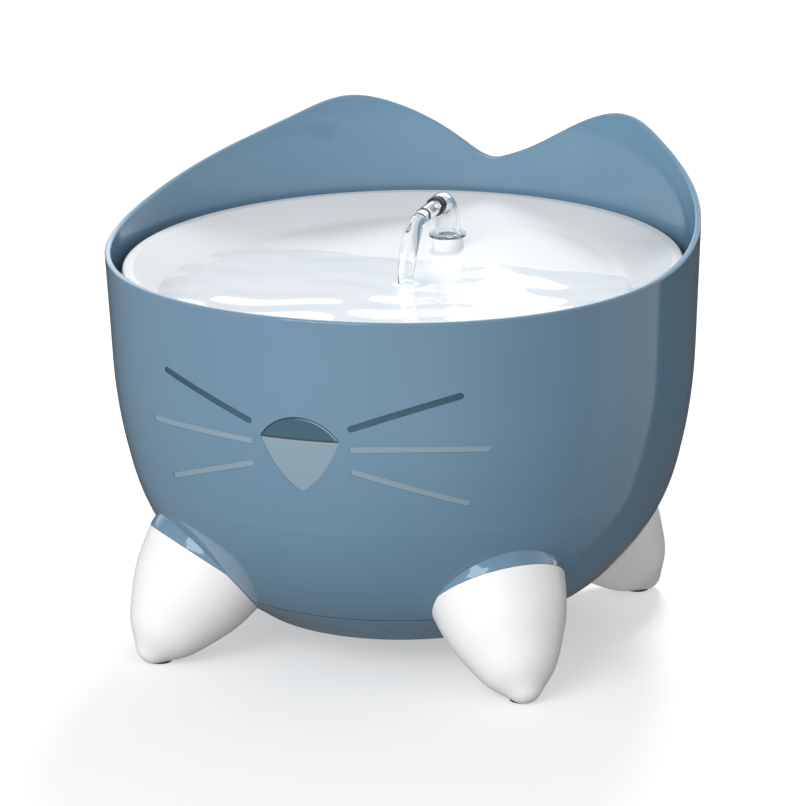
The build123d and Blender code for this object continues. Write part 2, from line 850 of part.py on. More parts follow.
export_step(spout_elbow.part, "parts/spout_elbow.step")

with BuildPart() as spout_seal:
    with BuildSketch(Plane.XY.offset(pedestal_top - seal_drop)):
        with Locations((0, spout_y)):
            Circle(spigot_radius + running_clearance)
            Circle(spigot_radius - ring_depth, mode=Mode.SUBTRACT)
    extrude(amount=-ring_width)
spout_seal.part.label = "spout_seal"
export_step(spout_seal.part, "parts/spout_seal.step")

with BuildPart() as nozzle:
    with BuildSketch(mouth.offset(-nozzle_plug)):
        Circle(nozzle_spigot)
    extrude(amount=nozzle_plug)
    with BuildSketch(mouth):
        Circle(nozzle_radius)
    extrude(amount=nozzle_shoulder + nozzle_band + nozzle_length)
    fillet(nozzle.edges().filter_by(GeomType.CIRCLE).sort_by(Axis.Y)[0], nozzle_round)
    with BuildSketch(mouth.offset(nozzle_shoulder)):
        Circle(nozzle_radius)
        Circle(nozzle_neck, mode=Mode.SUBTRACT)
    extrude(amount=nozzle_band, mode=Mode.SUBTRACT)
    with BuildSketch(mouth.offset(-nozzle_plug)):
        Circle(nozzle_bore)
    extrude(amount=nozzle_plug + nozzle_shoulder + nozzle_band + nozzle_length, mode=Mode.SUBTRACT)
nozzle.part.label = "nozzle"
export_step(nozzle.part, "parts/nozzle.step")

with BuildPart() as nozzle_o_ring:
    with BuildSketch(mouth.offset(nozzle_shoulder)):
        Circle(nozzle_band_radius)
        Circle(nozzle_neck, mode=Mode.SUBTRACT)
    extrude(amount=nozzle_band)
    fillet(nozzle_o_ring.edges().filter_by(GeomType.CIRCLE).sort_by(SortBy.RADIUS)[-2:], ring_round)
nozzle_o_ring.part.label = "nozzle_o_ring"
export_step(nozzle_o_ring.part, "parts/nozzle_o_ring.step")

# ---- Riser and pump outlet ----

with BuildPart() as outlet_coupler:
    with BuildSketch(Plane.XY.offset(coupler_foot)):
        with Locations((0, spout_y)):
            Circle(coupler_radius)
            Circle(riser_radius, mode=Mode.SUBTRACT)
    extrude(amount=coupler_top - coupler_foot)
    with BuildSketch(Plane.XY.offset(nipple_top)):
        with Locations((0, spout_y)):
            Circle(riser_radius + slide_clearance)
    extrude(amount=coupler_top - nipple_top, mode=Mode.SUBTRACT)
outlet_coupler.part.label = "outlet_coupler"
export_step(outlet_coupler.part, "parts/outlet_coupler.step")

with BuildPart() as pump_housing:
    with BuildSketch(pump_section(chamber_start + chamber_floor)):
        RectangleRounded(pump_width, pump_height, pump_corner)
    extrude(amount=chamber_start + chamber_floor - pump_front)
    with BuildSketch(pump_section(chamber_end)):
        Circle(chamber_radius + chamber_wall)
    extrude(amount=chamber_end - chamber_start)
    with BuildSketch(pump_section(chamber_start)):
        RectangleRounded(pump_width - 2 * pump_wall, pump_height - 2 * pump_wall, pump_corner - pump_wall)
    extrude(amount=chamber_start - pump_front, mode=Mode.SUBTRACT)
    with BuildSketch(Plane.XY.offset(pump_axis_height + chamber_radius - chamber_floor)):
        with Locations((0, spout_y)):
            Circle(riser_radius)
    extrude(amount=nipple_top - pump_axis_height - chamber_radius + chamber_floor)
    with BuildSketch(Plane.XY.offset(pump_axis_height)):
        with Locations((0, spout_y)):
            Circle(riser_bore)
    extrude(amount=nipple_top - pump_axis_height, mode=Mode.SUBTRACT)
    with BuildSketch(pump_section(chamber_start)):
        Circle(well_outer)
    extrude(amount=chamber_start - well_start + well_wall)
    with BuildSketch(pump_section(chamber_end)):
        Circle(chamber_radius)
    extrude(amount=chamber_end - chamber_start - chamber_floor, mode=Mode.SUBTRACT)
    with BuildSketch(pump_section(chamber_start + chamber_floor)):
        Circle(well_radius)
    extrude(amount=chamber_start + chamber_floor - well_start, mode=Mode.SUBTRACT)
    with BuildSketch(pump_section(well_start + bush_length)):
        Circle(bush_radius + bush_wall)
        Circle(bush_radius, mode=Mode.SUBTRACT)
    extrude(amount=bush_length)
    with BuildSketch(pump_section(chamber_end)):
        Circle(seal_outer)
        Circle(seal_inner, mode=Mode.SUBTRACT)
    extrude(amount=seal_depth, mode=Mode.SUBTRACT)
    with BuildSketch(Plane.XY.offset(pump_top - pump_wall)):
        with Locations((gland_x, gland_y)):
            Circle(gland_radius)
    extrude(amount=pump_wall, mode=Mode.SUBTRACT)
    with BuildSketch(Plane.XY.offset(pump_base)):
        for cup_y in cup_ys:
            with Locations((-cup_x, cup_y), (cup_x, cup_y)):
                Circle(cup_stem)
    extrude(amount=cup_stem_length, mode=Mode.SUBTRACT)
pump_housing.part.label = "pump_housing"
export_step(pump_housing.part, "parts/pump_housing.step")

with BuildPart() as pump_intake_cover:
    with BuildSketch(pump_section(chamber_end + intake_thickness)):
        Circle(chamber_radius + chamber_wall + running_clearance + cover_skirt)
    extrude(amount=intake_thickness + cover_overlap)
    with BuildSketch(pump_section(chamber_end)):
        Circle(chamber_radius + chamber_wall + running_clearance)
    extrude(amount=cover_overlap, mode=Mode.SUBTRACT)
    with BuildSketch(pump_section(chamber_end)):
        Circle(bush_radius + bush_wall)
    extrude(amount=bush_stand)
    with BuildSketch(pump_section(bush_face + bush_length)):
        Circle(bush_radius)
    extrude(amount=bush_length, mode=Mode.SUBTRACT)
    with BuildSketch(Plane.XY.offset(pump_axis_height)):
        with Locations((0, spout_y)):
            Circle(coupler_radius + slide_clearance)
    extrude(amount=pump_height, mode=Mode.SUBTRACT)
    with BuildSketch(pump_section(chamber_end + intake_thickness)):
        with PolarLocations(intake_slot_reach, intake_slots):
            SlotOverall(intake_slot_length, intake_slot_width)
    extrude(amount=intake_thickness, mode=Mode.SUBTRACT)
pump_intake_cover.part.label = "pump_intake_cover"
export_step(pump_intake_cover.part, "parts/pump_intake_cover.step")

with BuildPart() as volute_seal:
    with BuildSketch(pump_section(chamber_end)):
        Circle(seal_outer)
        Circle(seal_inner, mode=Mode.SUBTRACT)
    extrude(amount=seal_depth)
volute_seal.part.label = "volute_seal"
export_step(volute_seal.part, "parts/volute_seal.step")

with BuildPart() as shaft_bushes:
    for bush_end in (well_start + bush_length, bush_face + bush_length):
        with BuildSketch(pump_section(bush_end)):
            Circle(bush_radius)
            Circle(shaft_radius, mode=Mode.SUBTRACT)
        extrude(amount=bush_length)
shaft_bushes.part.label = "shaft_bushes"
export_step(shaft_bushes.part, "parts/shaft_bushes.step")

with BuildPart() as impeller_shaft:
    with BuildSketch(pump_section(bush_face + bush_length)):
        Circle(shaft_radius)
    extrude(amount=bush_face + bush_length - well_start)
impeller_shaft.part.label = "impeller_shaft"
export_step(impeller_shaft.part, "parts/impeller_shaft.step")

with BuildPart() as impeller:
    with BuildSketch(pump_section(bush_face - end_float)):
        Circle(hub_radius)
    extrude(amount=bush_face - well_start - bush_length - 2 * end_float)
    with BuildSketch(pump_section(impeller_face + impeller_plate)):
        Circle(impeller_radius)
    extrude(amount=impeller_plate)
    with BuildSketch(pump_section(bush_face - blade_gap)):
        with PolarLocations(impeller_radius / 2, impeller_blades):
            Rectangle(impeller_radius - blade_thickness, blade_thickness)
    extrude(amount=bush_face - blade_gap - impeller_face)
    with BuildSketch(pump_section(bush_face)):
        Circle(shaft_radius + running_clearance)
    extrude(amount=bush_face - well_start, mode=Mode.SUBTRACT)
impeller.part.label = "impeller"
export_step(impeller.part, "parts/impeller.step")

with BuildPart() as rotor_magnet:
    with BuildSketch(pump_section(magnet_start + magnet_length)):
        Circle(well_radius - magnet_gap)
        Circle(hub_radius, mode=Mode.SUBTRACT)
    extrude(amount=magnet_length)
rotor_magnet.part.label = "rotor_magnet"
export_step(rotor_magnet.part, "parts/rotor_magnet.step")

with BuildPart() as pump_stator:
    with BuildSketch(pump_section(stator_start + stator_length)):
        RectangleRounded(stator_width, stator_height, stator_corner)
        Circle(well_outer + potting_gap, mode=Mode.SUBTRACT)
        with PolarLocations(slot_reach, slot_count):
            Circle(slot_radius, mode=Mode.SUBTRACT)
    extrude(amount=stator_length)
pump_stator.part.label = "pump_stator"
export_step(pump_stator.part, "parts/pump_stator.step")

with BuildPart() as pump_coil:
    for coil_end in (stator_start - potting_gap, stator_start + stator_length + potting_gap + coil_length):
        with BuildSketch(pump_section(coil_end)):
            Circle(coil_outer)
            Circle(well_outer + potting_gap, mode=Mode.SUBTRACT)
        extrude(amount=coil_length)
    with BuildSketch(pump_section(stator_start + stator_length + coil_length)):
        with PolarLocations(slot_reach, slot_count):
            Circle(slot_radius - potting_gap)
    extrude(amount=stator_length + 2 * coil_length)
pump_coil.part.label = "pump_coil"
export_step(pump_coil.part, "parts/pump_coil.step")

with BuildPart() as pump_front_cap:
    with BuildSketch(pump_section(pump_front)):
        RectangleRounded(pump_width, pump_height, pump_corner)
    extrude(amount=cap_thickness)
    with BuildSketch(pump_section(pump_front + cap_rim)):
        RectangleRounded(pump_width - 2 * pump_wall, pump_height - 2 * pump_wall, pump_corner - pump_wall)
        RectangleRounded(pump_width - 4 * pump_wall, pump_height - 4 * pump_wall, pump_corner - pump_wall,
                         mode=Mode.SUBTRACT)
    extrude(amount=cap_rim)
pump_front_cap.part.label = "pump_front_cap"
export_step(pump_front_cap.part, "parts/pump_front_cap.step")

with BuildPart() as lead_gland:
    with BuildSketch(Plane.XY.offset(pump_top - pump_wall)):
        with Locations((gland_x, gland_y)):
            Circle(gland_radius)
    extrude(amount=pump_wall + gland_stem)
    with BuildSketch(Plane.XY.offset(pump_top)):
        with Locations((gland_x, gland_y)):
            Circle(gland_radius + gland_flange)
    extrude(amount=gland_flange_height)
    with BuildSketch(Plane.XY.offset(pump_top - pump_wall)):
        with Locations((gland_x, gland_y)):
            Circle(gland_bore)
    extrude(amount=pump_wall + gland_stem, mode=Mode.SUBTRACT)
lead_gland.part.label = "lead_gland"
export_step(lead_gland.part, "parts/lead_gland.step")

with BuildPart() as suction_cups:
    for cup_y in cup_ys:
        for cup_side in (-1, 1):
            neck_height = pump_base - cup_neck_height
            with BuildSketch(Plane(origin=(cup_side * cup_x, cup_y, 0), x_dir=(1, 0, 0), z_dir=(0, -1, 0))):
                with BuildLine():
                    Polyline((0, basket_floor + cup_lip), (cup_radius - cup_lip, basket_floor),
                             (cup_radius, basket_floor), (cup_radius, basket_floor + cup_lip),
                             (cup_neck, neck_height), (cup_neck, pump_base), (cup_stem, pump_base),
                             (cup_stem, pump_base + cup_stem_length), (0, pump_base + cup_stem_length),
                             close=True)
                make_face()
            revolve(axis=Axis((cup_side * cup_x, cup_y, 0), (0, 0, 1)))
suction_cups.part.label = "suction_cups"
export_step(suction_cups.part, "parts/suction_cups.step")

# ---- Filter ----

foot_align = (Align.CENTER, Align.CENTER, Align.MIN)

with BuildPart() as filter_housing:
    with Locations((0, basket_y, floor_height)):
        Cone(basket_floor_radius, basket_rim_radius, basket_rim_height - floor_height, align=foot_align)
    with Locations((0, basket_y, basket_floor)):
        Cone(basket_radius(basket_floor) - basket_wall, basket_rim_radius - basket_wall,
             basket_rim_height - basket_floor, align=foot_align, mode=Mode.SUBTRACT)
    with BuildSketch(Plane.XY.offset(grid_height - ledge_thickness)):
        with Locations((0, basket_y)):
            Circle(basket_radius(grid_height - ledge_thickness) - basket_wall / 2)
            Circle(basket_radius(grid_height) - basket_wall - ledge_width, mode=Mode.SUBTRACT)
    extrude(amount=ledge_thickness)
    for index in range(basket_slots):
        with BuildSketch(basket_side((index + 0.5) * 360 / basket_slots)):
            with Locations((0, (basket_slot_low + basket_slot_high) / 2)):
                SlotOverall(basket_slot_high - basket_slot_low, basket_slot_width, rotation=90)
        extrude(amount=basket_rim_radius, mode=Mode.SUBTRACT)
filter_housing.part.label = "filter_housing"
export_step(filter_housing.part, "parts/filter_housing.step")

with BuildPart() as foam_sleeve:
    foam_outer = basket_wall + foam_gap
    with Locations((0, basket_y, basket_floor)):
        Cone(basket_radius(basket_floor) - foam_outer, basket_radius(foam_top) - foam_outer,
             foam_top - basket_floor, align=foot_align)
        Cone(basket_radius(basket_floor) - foam_outer - foam_thickness,
             basket_radius(foam_top) - foam_outer - foam_thickness,
             foam_top - basket_floor, align=foot_align, mode=Mode.SUBTRACT)
foam_sleeve.part.label = "foam_sleeve"
export_step(foam_sleeve.part, "parts/foam_sleeve.step")

with BuildPart() as filter_grid:
    with BuildSketch(Plane.XY.offset(grid_height)):
        with Locations((0, basket_y)):
            Circle(basket_radius(grid_height) - basket_wall - grid_gap)
            with PolarLocations(grid_slot_reach, grid_slots, start_angle=180 / grid_slots):
                SlotOverall(grid_slot_length, grid_slot_width, mode=Mode.SUBTRACT)
        with Locations((0, spout_y)):
            Circle(chimney_radius)
    extrude(amount=grid_thickness)
    with BuildSketch(Plane.XY.offset(grid_height)):
        with Locations((0, spout_y)):
            Circle(chimney_radius)
    extrude(amount=grid_thickness + cartridge_height)
    with BuildSketch(Plane.XY.offset(grid_height)):
        with Locations((0, spout_y)):
            Circle(chimney_bore)
    extrude(amount=grid_thickness + cartridge_height, mode=Mode.SUBTRACT)
filter_grid.part.label = "filter_grid"
export_step(filter_grid.part, "parts/filter_grid.step")

with BuildPart() as filter_frame:
    with BuildSketch(Plane.XY.offset(grid_top)):
        with Locations((0, basket_y)):
            Circle(cartridge_radius)
            Circle(cartridge_radius - cartridge_wall, mode=Mode.SUBTRACT)
    extrude(amount=cartridge_height)
    with BuildSketch(Plane.XY.offset(grid_top)):
        with Locations((0, basket_y)):
            with PolarLocations(cartridge_radius / 2, bar_count):
                Rectangle(cartridge_radius - cartridge_wall / 2, bar_width)
    extrude(amount=bar_height)
    with BuildSketch(Plane.XY.offset(grid_top)):
        with Locations((0, spout_y)):
            Circle(sleeve_radius + chimney_wall)
    extrude(amount=cartridge_height)
    with BuildSketch(Plane.XY.offset(grid_top)):
        with Locations((0, spout_y)):
            Circle(sleeve_radius)
    extrude(amount=cartridge_height, mode=Mode.SUBTRACT)
filter_frame.part.label = "filter_frame"
export_step(filter_frame.part, "parts/filter_frame.step")

with BuildPart() as carbon_bed:
    with BuildSketch(Plane.XY.offset(grid_top + bar_height)):
        with Locations((0, basket_y)):
            Circle(cartridge_radius - cartridge_wall)
        with Locations((0, spout_y)):
            Circle(sleeve_radius + chimney_wall, mode=Mode.SUBTRACT)
    extrude(amount=carbon_depth)
carbon_bed.part.label = "carbon_bed"
export_step(carbon_bed.part, "parts/carbon_bed.step")

with BuildPart() as filter_pad:
    with BuildSketch(Plane.XY.offset(grid_top + bar_height + carbon_depth)):
        with Locations((0, basket_y)):
            Circle(cartridge_radius - cartridge_wall)
        with Locations((0, spout_y)):
            Circle(sleeve_radius + chimney_wall, mode=Mode.SUBTRACT)
    extrude(amount=pad_depth)
filter_pad.part.label = "filter_pad"
export_step(filter_pad.part, "parts/filter_pad.step")
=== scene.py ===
import math

import bmesh
import bpy
from mathutils import Matrix, Vector


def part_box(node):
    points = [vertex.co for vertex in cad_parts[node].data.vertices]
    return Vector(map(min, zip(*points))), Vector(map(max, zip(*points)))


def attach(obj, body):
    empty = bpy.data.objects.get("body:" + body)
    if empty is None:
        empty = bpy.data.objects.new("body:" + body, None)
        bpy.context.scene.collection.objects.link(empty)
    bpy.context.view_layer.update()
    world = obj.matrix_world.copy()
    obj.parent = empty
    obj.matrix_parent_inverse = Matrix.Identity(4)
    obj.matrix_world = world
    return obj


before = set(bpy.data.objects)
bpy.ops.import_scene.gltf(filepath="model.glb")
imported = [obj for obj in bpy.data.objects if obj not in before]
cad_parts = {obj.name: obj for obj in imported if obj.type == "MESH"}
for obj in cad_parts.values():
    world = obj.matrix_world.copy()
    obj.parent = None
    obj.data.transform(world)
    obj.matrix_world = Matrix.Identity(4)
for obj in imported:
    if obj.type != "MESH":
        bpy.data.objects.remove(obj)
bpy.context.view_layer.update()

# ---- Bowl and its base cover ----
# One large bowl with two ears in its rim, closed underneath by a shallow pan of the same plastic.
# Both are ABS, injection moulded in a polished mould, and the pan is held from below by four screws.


def from_hex(code):
    """sRGB hex to the linear colour that a shader takes."""
    parts = [int(code[i:i + 2], 16) / 255 for i in (1, 3, 5)]
    return [p / 12.92 if p <= 0.04045 else ((p + 0.055) / 1.055) ** 2.4 for p in parts] + [1.0]


def start_finish(name):
    """An empty node material and its tree."""
    finish = bpy.data.materials.new(name)
    finish.use_nodes = True
    finish.node_tree.nodes.clear()
    return finish, finish.node_tree


def put(tree, kind, inputs=None, **settings):
    """Adds a node; each input is a number, a colour, another node or one of its outputs."""
    made = tree.nodes.new(kind)
    for name, value in settings.items():
        setattr(made, name, value)
    for name, value in (inputs or {}).items():
        if isinstance(value, bpy.types.Node):
            value = next(output for output in value.outputs if output.enabled)
        if isinstance(value, bpy.types.NodeSocket):
            tree.links.new(value, made.inputs[name])
        else:
            made.inputs[name].default_value = value
    return made


def dress(finish, *names):
    """Gives CAD nodes their finish."""
    for name in names:
        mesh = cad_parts[name].data
        mesh.materials.clear()
        mesh.materials.append(finish)


# Polished ABS: a clear, nearly sharp reflection over an even colour, with a faint flow of the melt.
blue_abs, tree = start_finish("moulded_blue_abs_polished")
flow_mm = 45.0
polish_mm = 4.0
place = put(tree, "ShaderNodeTexCoord")
flow = put(tree, "ShaderNodeTexNoise", {"Vector": place.outputs["Object"], "Scale": 1000 / flow_mm,
                                        "Detail": 2.0})
tint = put(tree, "ShaderNodeMix", {"Factor": flow, "A": from_hex("#6C8EA6"), "B": from_hex("#7092AA")},
           data_type="RGBA")
polish = put(tree, "ShaderNodeTexNoise", {"Vector": place.outputs["Object"], "Scale": 1000 / polish_mm,
                                          "Detail": 3.0})
gloss = put(tree, "ShaderNodeMapRange", {"Value": polish, "To Min": 0.06, "To Max": 0.09})
waves = put(tree, "ShaderNodeBump", {"Height": flow, "Strength": 0.02, "Distance": 0.001})
surface = put(tree, "ShaderNodeBsdfPrincipled", {"Base Color": tint, "Roughness": gloss, "Normal": waves,
                                                 "IOR": 1.53})
put(tree, "ShaderNodeOutputMaterial", {"Surface": surface})
dress(blue_abs, "reservoir_bowl", "base_cover")

# ---- Windows of the face and their seals ----
# A nose and six whisker bars of clear SAN, pressed into the bowl wall from inside over silicone seals.
# Above the water the dark inside shows, and below it the bright water stands against the plastic.

# Clear SAN is hard and very glossy, so what stands behind it is painted on it by height: pale lit water, a
# painted highlight and a painted dark line where the water's skin meets the window, and painted shade of the
# dim hollow over it.
water_level = 0.1050
line_height = 0.0004
window_foot = 0.0780
window_top = 0.1240
clear_san, tree = start_finish("moulded_clear_san_with_water_behind")
place = put(tree, "ShaderNodeTexCoord")
spot = put(tree, "ShaderNodeSeparateXYZ", {"Vector": place.outputs["Object"]})
height = put(tree, "ShaderNodeMapRange", {"Value": spot.outputs["Z"], "From Min": window_foot,
                                          "From Max": window_top})
seen = put(tree, "ShaderNodeValToRGB", {"Fac": height})
level_share = (water_level - window_foot) / (window_top - window_foot)
line_share = line_height / (window_top - window_foot)
painted_lit_water = from_hex("#8CA3B2")
painted_waterline_shade = from_hex("#23404F")
stops = seen.color_ramp.elements
stops.remove(stops[-1])
stops[0].color = painted_lit_water
# From the bottom: painted lit water, a painted highlight line, a painted dark line at the water level, and
# painted shade of the hollow, darker towards the top.
for share, colour in ((level_share - 3 * line_share, painted_lit_water),
                      (level_share - 2 * line_share, from_hex("#A3A9AE")),
                      (level_share - line_share, painted_waterline_shade),
                      (level_share, painted_waterline_shade),
                      (level_share + line_share, from_hex("#385D71")),
                      (0.998, from_hex("#264E62"))):
    stops.new(share).color = colour
cloud_mm = 6.0
cloud = put(tree, "ShaderNodeTexNoise", {"Vector": place.outputs["Object"], "Scale": 1000 / cloud_mm,
                                         "Detail": 2.0})
gloss = put(tree, "ShaderNodeMapRange", {"Value": cloud, "To Min": 0.03, "To Max": 0.07})
surface = put(tree, "ShaderNodeBsdfPrincipled", {"Base Color": seen, "Roughness": gloss, "IOR": 1.57})
put(tree, "ShaderNodeOutputMaterial", {"Surface": surface})
dress(clear_san, "whisker_windows")

# The nose is large enough to show its moulded edge, painted as a dark shade line round the top with a
# painted highlight inside it.
nose_san = clear_san.copy()
nose_san.name = "moulded_clear_san_nose"
tree = nose_san.node_tree
arc_middle = 0.0953
arc_radius = 0.01815
edge_width = 0.0005
edge_blur = 0.0001
glint_start = -0.002
glint_full = 0.006
place = put(tree, "ShaderNodeTexCoord")
spot = put(tree, "ShaderNodeSeparateXYZ", {"Vector": place.outputs["Object"]})
flat = put(tree, "ShaderNodeVectorMath", {0: place.outputs["Object"], 1: (1, 0, 1)}, operation="MULTIPLY")
away = put(tree, "ShaderNodeVectorMath", {0: flat, 1: (0, 0, arc_middle)}, operation="DISTANCE")
dry = put(tree, "ShaderNodeMapRange", {"Value": spot.outputs["Z"], "From Min": water_level,
                                       "From Max": water_level + line_height})
edge = put(tree, "ShaderNodeMapRange", {"Value": away, "From Min": arc_radius - edge_width - edge_blur,
                                        "From Max": arc_radius - edge_width + edge_blur})
# Painted shade: a dark line round the top of the nose, above the water.
painted_edge_shade = put(tree, "ShaderNodeMath", {0: edge, 1: dry}, operation="MULTIPLY")
inner = put(tree, "ShaderNodeMapRange", {"Value": away, "From Min": arc_radius - 2 * edge_width - edge_blur,
                                         "From Max": arc_radius - 2 * edge_width + edge_blur})
# Painted highlight: a bright line just inside it, on the right half only, above the water.
right_half = put(tree, "ShaderNodeMapRange", {"Value": spot.outputs["X"], "From Min": glint_start,
                                              "From Max": glint_full})
glint = put(tree, "ShaderNodeMath", {0: inner, 1: right_half}, operation="MULTIPLY")
painted_edge_highlight = put(tree, "ShaderNodeMath", {0: glint, 1: dry}, operation="MULTIPLY")
lined = put(tree, "ShaderNodeMix", {"Factor": painted_edge_highlight, "A": tree.nodes["Color Ramp"],
                                    "B": from_hex("#93A6B1")}, data_type="RGBA")
rimmed = put(tree, "ShaderNodeMix", {"Factor": painted_edge_shade, "A": lined, "B": from_hex("#132B38")},
             data_type="RGBA")
tree.links.new(rimmed.outputs["Result"], tree.nodes["Principled BSDF"].inputs["Base Color"])
dress(nose_san, "nose_window")

# Moulded silicone: milky and soft, with a dull skin that light sinks into.
milky_silicone, tree = start_finish("moulded_milky_silicone")
skin_mm = 1.2
place = put(tree, "ShaderNodeTexCoord")
skin = put(tree, "ShaderNodeTexNoise", {"Vector": place.outputs["Object"], "Scale": 1000 / skin_mm,
                                        "Detail": 3.0})
tint = put(tree, "ShaderNodeMix", {"Factor": skin, "A": from_hex("#D6DADB"), "B": from_hex("#E2E5E5")},
           data_type="RGBA")
gloss = put(tree, "ShaderNodeMapRange", {"Value": skin, "To Min": 0.45, "To Max": 0.6})
surface = put(tree, "ShaderNodeBsdfPrincipled", {"Base Color": tint, "Roughness": gloss, "IOR": 1.41,
                                                 "Subsurface Weight": 0.2, "Subsurface Scale": 0.003})
put(tree, "ShaderNodeOutputMaterial", {"Surface": surface})
dress(milky_silicone, "nose_seal", "whisker_seals")

# ---- Feet, their pads and all screws ----
# Four hollow shoes that sit over the collars of the bowl, in white ABS with a finely textured mould face.
# A dark rubber pad is pressed into each sole, and stainless pan-head screws hold the shoes and the pan.

# White ABS from a sparked mould: bright and satin, with a grain that shows only close up.
white_abs, tree = start_finish("moulded_white_abs_satin")
grain_mm = 1.1
place = put(tree, "ShaderNodeTexCoord")
grain = put(tree, "ShaderNodeTexNoise", {"Vector": place.outputs["Object"], "Scale": 1000 / grain_mm,
                                         "Detail": 2.0})
tint = put(tree, "ShaderNodeMix", {"Factor": grain, "A": from_hex("#FBFBFB"), "B": from_hex("#FEFEFE")},
           data_type="RGBA")
gloss = put(tree, "ShaderNodeMapRange", {"Value": grain, "To Min": 0.3, "To Max": 0.4})
relief = put(tree, "ShaderNodeBump", {"Height": grain, "Strength": 0.04, "Distance": 0.0002})
surface = put(tree, "ShaderNodeBsdfPrincipled", {"Base Color": tint, "Roughness": gloss, "Normal": relief,
                                                 "IOR": 1.53})
put(tree, "ShaderNodeOutputMaterial", {"Surface": surface})
dress(white_abs, "front_left_foot", "front_right_foot", "rear_left_foot", "rear_right_foot")

# Moulded rubber: dark, dull and a little dusty.
pad_rubber, tree = start_finish("moulded_grey_rubber")
dust_mm = 1.4
place = put(tree, "ShaderNodeTexCoord")
dust = put(tree, "ShaderNodeTexNoise", {"Vector": place.outputs["Object"], "Scale": 1000 / dust_mm,
                                        "Detail": 4.0})
shade = put(tree, "ShaderNodeMix", {"Factor": dust, "A": from_hex("#303134"), "B": from_hex("#47484C")},
            data_type="RGBA")
gloss = put(tree, "ShaderNodeMapRange", {"Value": dust, "To Min": 0.65, "To Max": 0.85})
relief = put(tree, "ShaderNodeBump", {"Height": dust, "Strength": 0.2, "Distance": 0.0003})
surface = put(tree, "ShaderNodeBsdfPrincipled", {"Base Color": shade, "Roughness": gloss, "Normal": relief,
                                                 "IOR": 1.52})
put(tree, "ShaderNodeOutputMaterial", {"Surface": surface})
dress(pad_rubber, "front_left_foot_pad", "front_right_foot_pad", "rear_left_foot_pad", "rear_right_foot_pad",
      "cord_grommet", "lead_gland")

# Stainless steel, turned and rolled: bright grey with fine tool lines, drawn at 0.4 mm so that they show.
bright_steel, tree = start_finish("turned_stainless_steel")
tool_line_mm = 0.4
place = put(tree, "ShaderNodeTexCoord")
lines = put(tree, "ShaderNodeTexWave", {"Vector": place.outputs["Object"], "Scale": 1000 / tool_line_mm / 20,
                                        "Distortion": 1.5, "Detail": 2.0}, bands_direction="Z")
gloss = put(tree, "ShaderNodeMapRange", {"Value": lines.outputs["Fac"], "To Min": 0.22, "To Max": 0.36})
relief = put(tree, "ShaderNodeBump", {"Height": lines.outputs["Fac"], "Strength": 0.1, "Distance": 0.0001})
surface = put(tree, "ShaderNodeBsdfPrincipled", {"Base Color": from_hex("#C3C5C8"), "Metallic": 1.0,
                                                 "Roughness": gloss, "Normal": relief})
put(tree, "ShaderNodeOutputMaterial", {"Surface": surface})
dress(bright_steel, "base_cover_screws", "foot_screws")

# ---- Pump ----
# A submersible pump in black ABS that stands on four suction cups and is potted round its coil.
# Its rotor is a ferrite magnet moulded into the impeller, which turns on a ground ceramic shaft.

# Spark-eroded mould face: an even fine grain, drawn at 0.8 mm, that breaks up the shine.
black_abs, tree = start_finish("moulded_black_abs_textured")
spark_mm = 0.8
place = put(tree, "ShaderNodeTexCoord")
spark = put(tree, "ShaderNodeTexNoise", {"Vector": place.outputs["Object"], "Scale": 1000 / spark_mm,
                                         "Detail": 3.0})
tint = put(tree, "ShaderNodeMix", {"Factor": spark, "A": from_hex("#1D1E20"), "B": from_hex("#26272A")},
           data_type="RGBA")
gloss = put(tree, "ShaderNodeMapRange", {"Value": spark, "To Min": 0.42, "To Max": 0.58})
relief = put(tree, "ShaderNodeBump", {"Height": spark, "Strength": 0.25, "Distance": 0.0002})
surface = put(tree, "ShaderNodeBsdfPrincipled", {"Base Color": tint, "Roughness": gloss, "Normal": relief,
                                                 "IOR": 1.53})
put(tree, "ShaderNodeOutputMaterial", {"Surface": surface})
dress(black_abs, "pump_housing", "pump_intake_cover", "pump_front_cap")

# The cups under the pump are of the same milky silicone as the window seals.
dress(milky_silicone, "suction_cups")

# Moulded nitrile rubber: near black with a soft sheen.
black_rubber, tree = start_finish("moulded_black_nitrile_rubber")
bloom_mm = 0.7
place = put(tree, "ShaderNodeTexCoord")
bloom = put(tree, "ShaderNodeTexNoise", {"Vector": place.outputs["Object"], "Scale": 1000 / bloom_mm,
                                         "Detail": 3.0})
tint = put(tree, "ShaderNodeMix", {"Factor": bloom, "A": from_hex("#141517"), "B": from_hex("#1D1E20")},
           data_type="RGBA")
gloss = put(tree, "ShaderNodeMapRange", {"Value": bloom, "To Min": 0.3, "To Max": 0.5})
surface = put(tree, "ShaderNodeBsdfPrincipled", {"Base Color": tint, "Roughness": gloss, "IOR": 1.52})
put(tree, "ShaderNodeOutputMaterial", {"Surface": surface})
dress(black_rubber, "volute_seal", "shaft_bushes")

# Natural acetal: waxy off-white, with light going a little way in.
natural_acetal, tree = start_finish("moulded_natural_acetal")
sink_mm = 5.0
place = put(tree, "ShaderNodeTexCoord")
sink = put(tree, "ShaderNodeTexNoise", {"Vector": place.outputs["Object"], "Scale": 1000 / sink_mm,
                                        "Detail": 2.0})
tint = put(tree, "ShaderNodeMix", {"Factor": sink, "A": from_hex("#DFE0DC"), "B": from_hex("#E9E9E5")},
           data_type="RGBA")
gloss = put(tree, "ShaderNodeMapRange", {"Value": sink, "To Min": 0.32, "To Max": 0.42})
surface = put(tree, "ShaderNodeBsdfPrincipled", {"Base Color": tint, "Roughness": gloss, "IOR": 1.48,
                                                 "Subsurface Weight": 0.15, "Subsurface Scale": 0.002})
put(tree, "ShaderNodeOutputMaterial", {"Surface": surface})
dress(natural_acetal, "impeller")
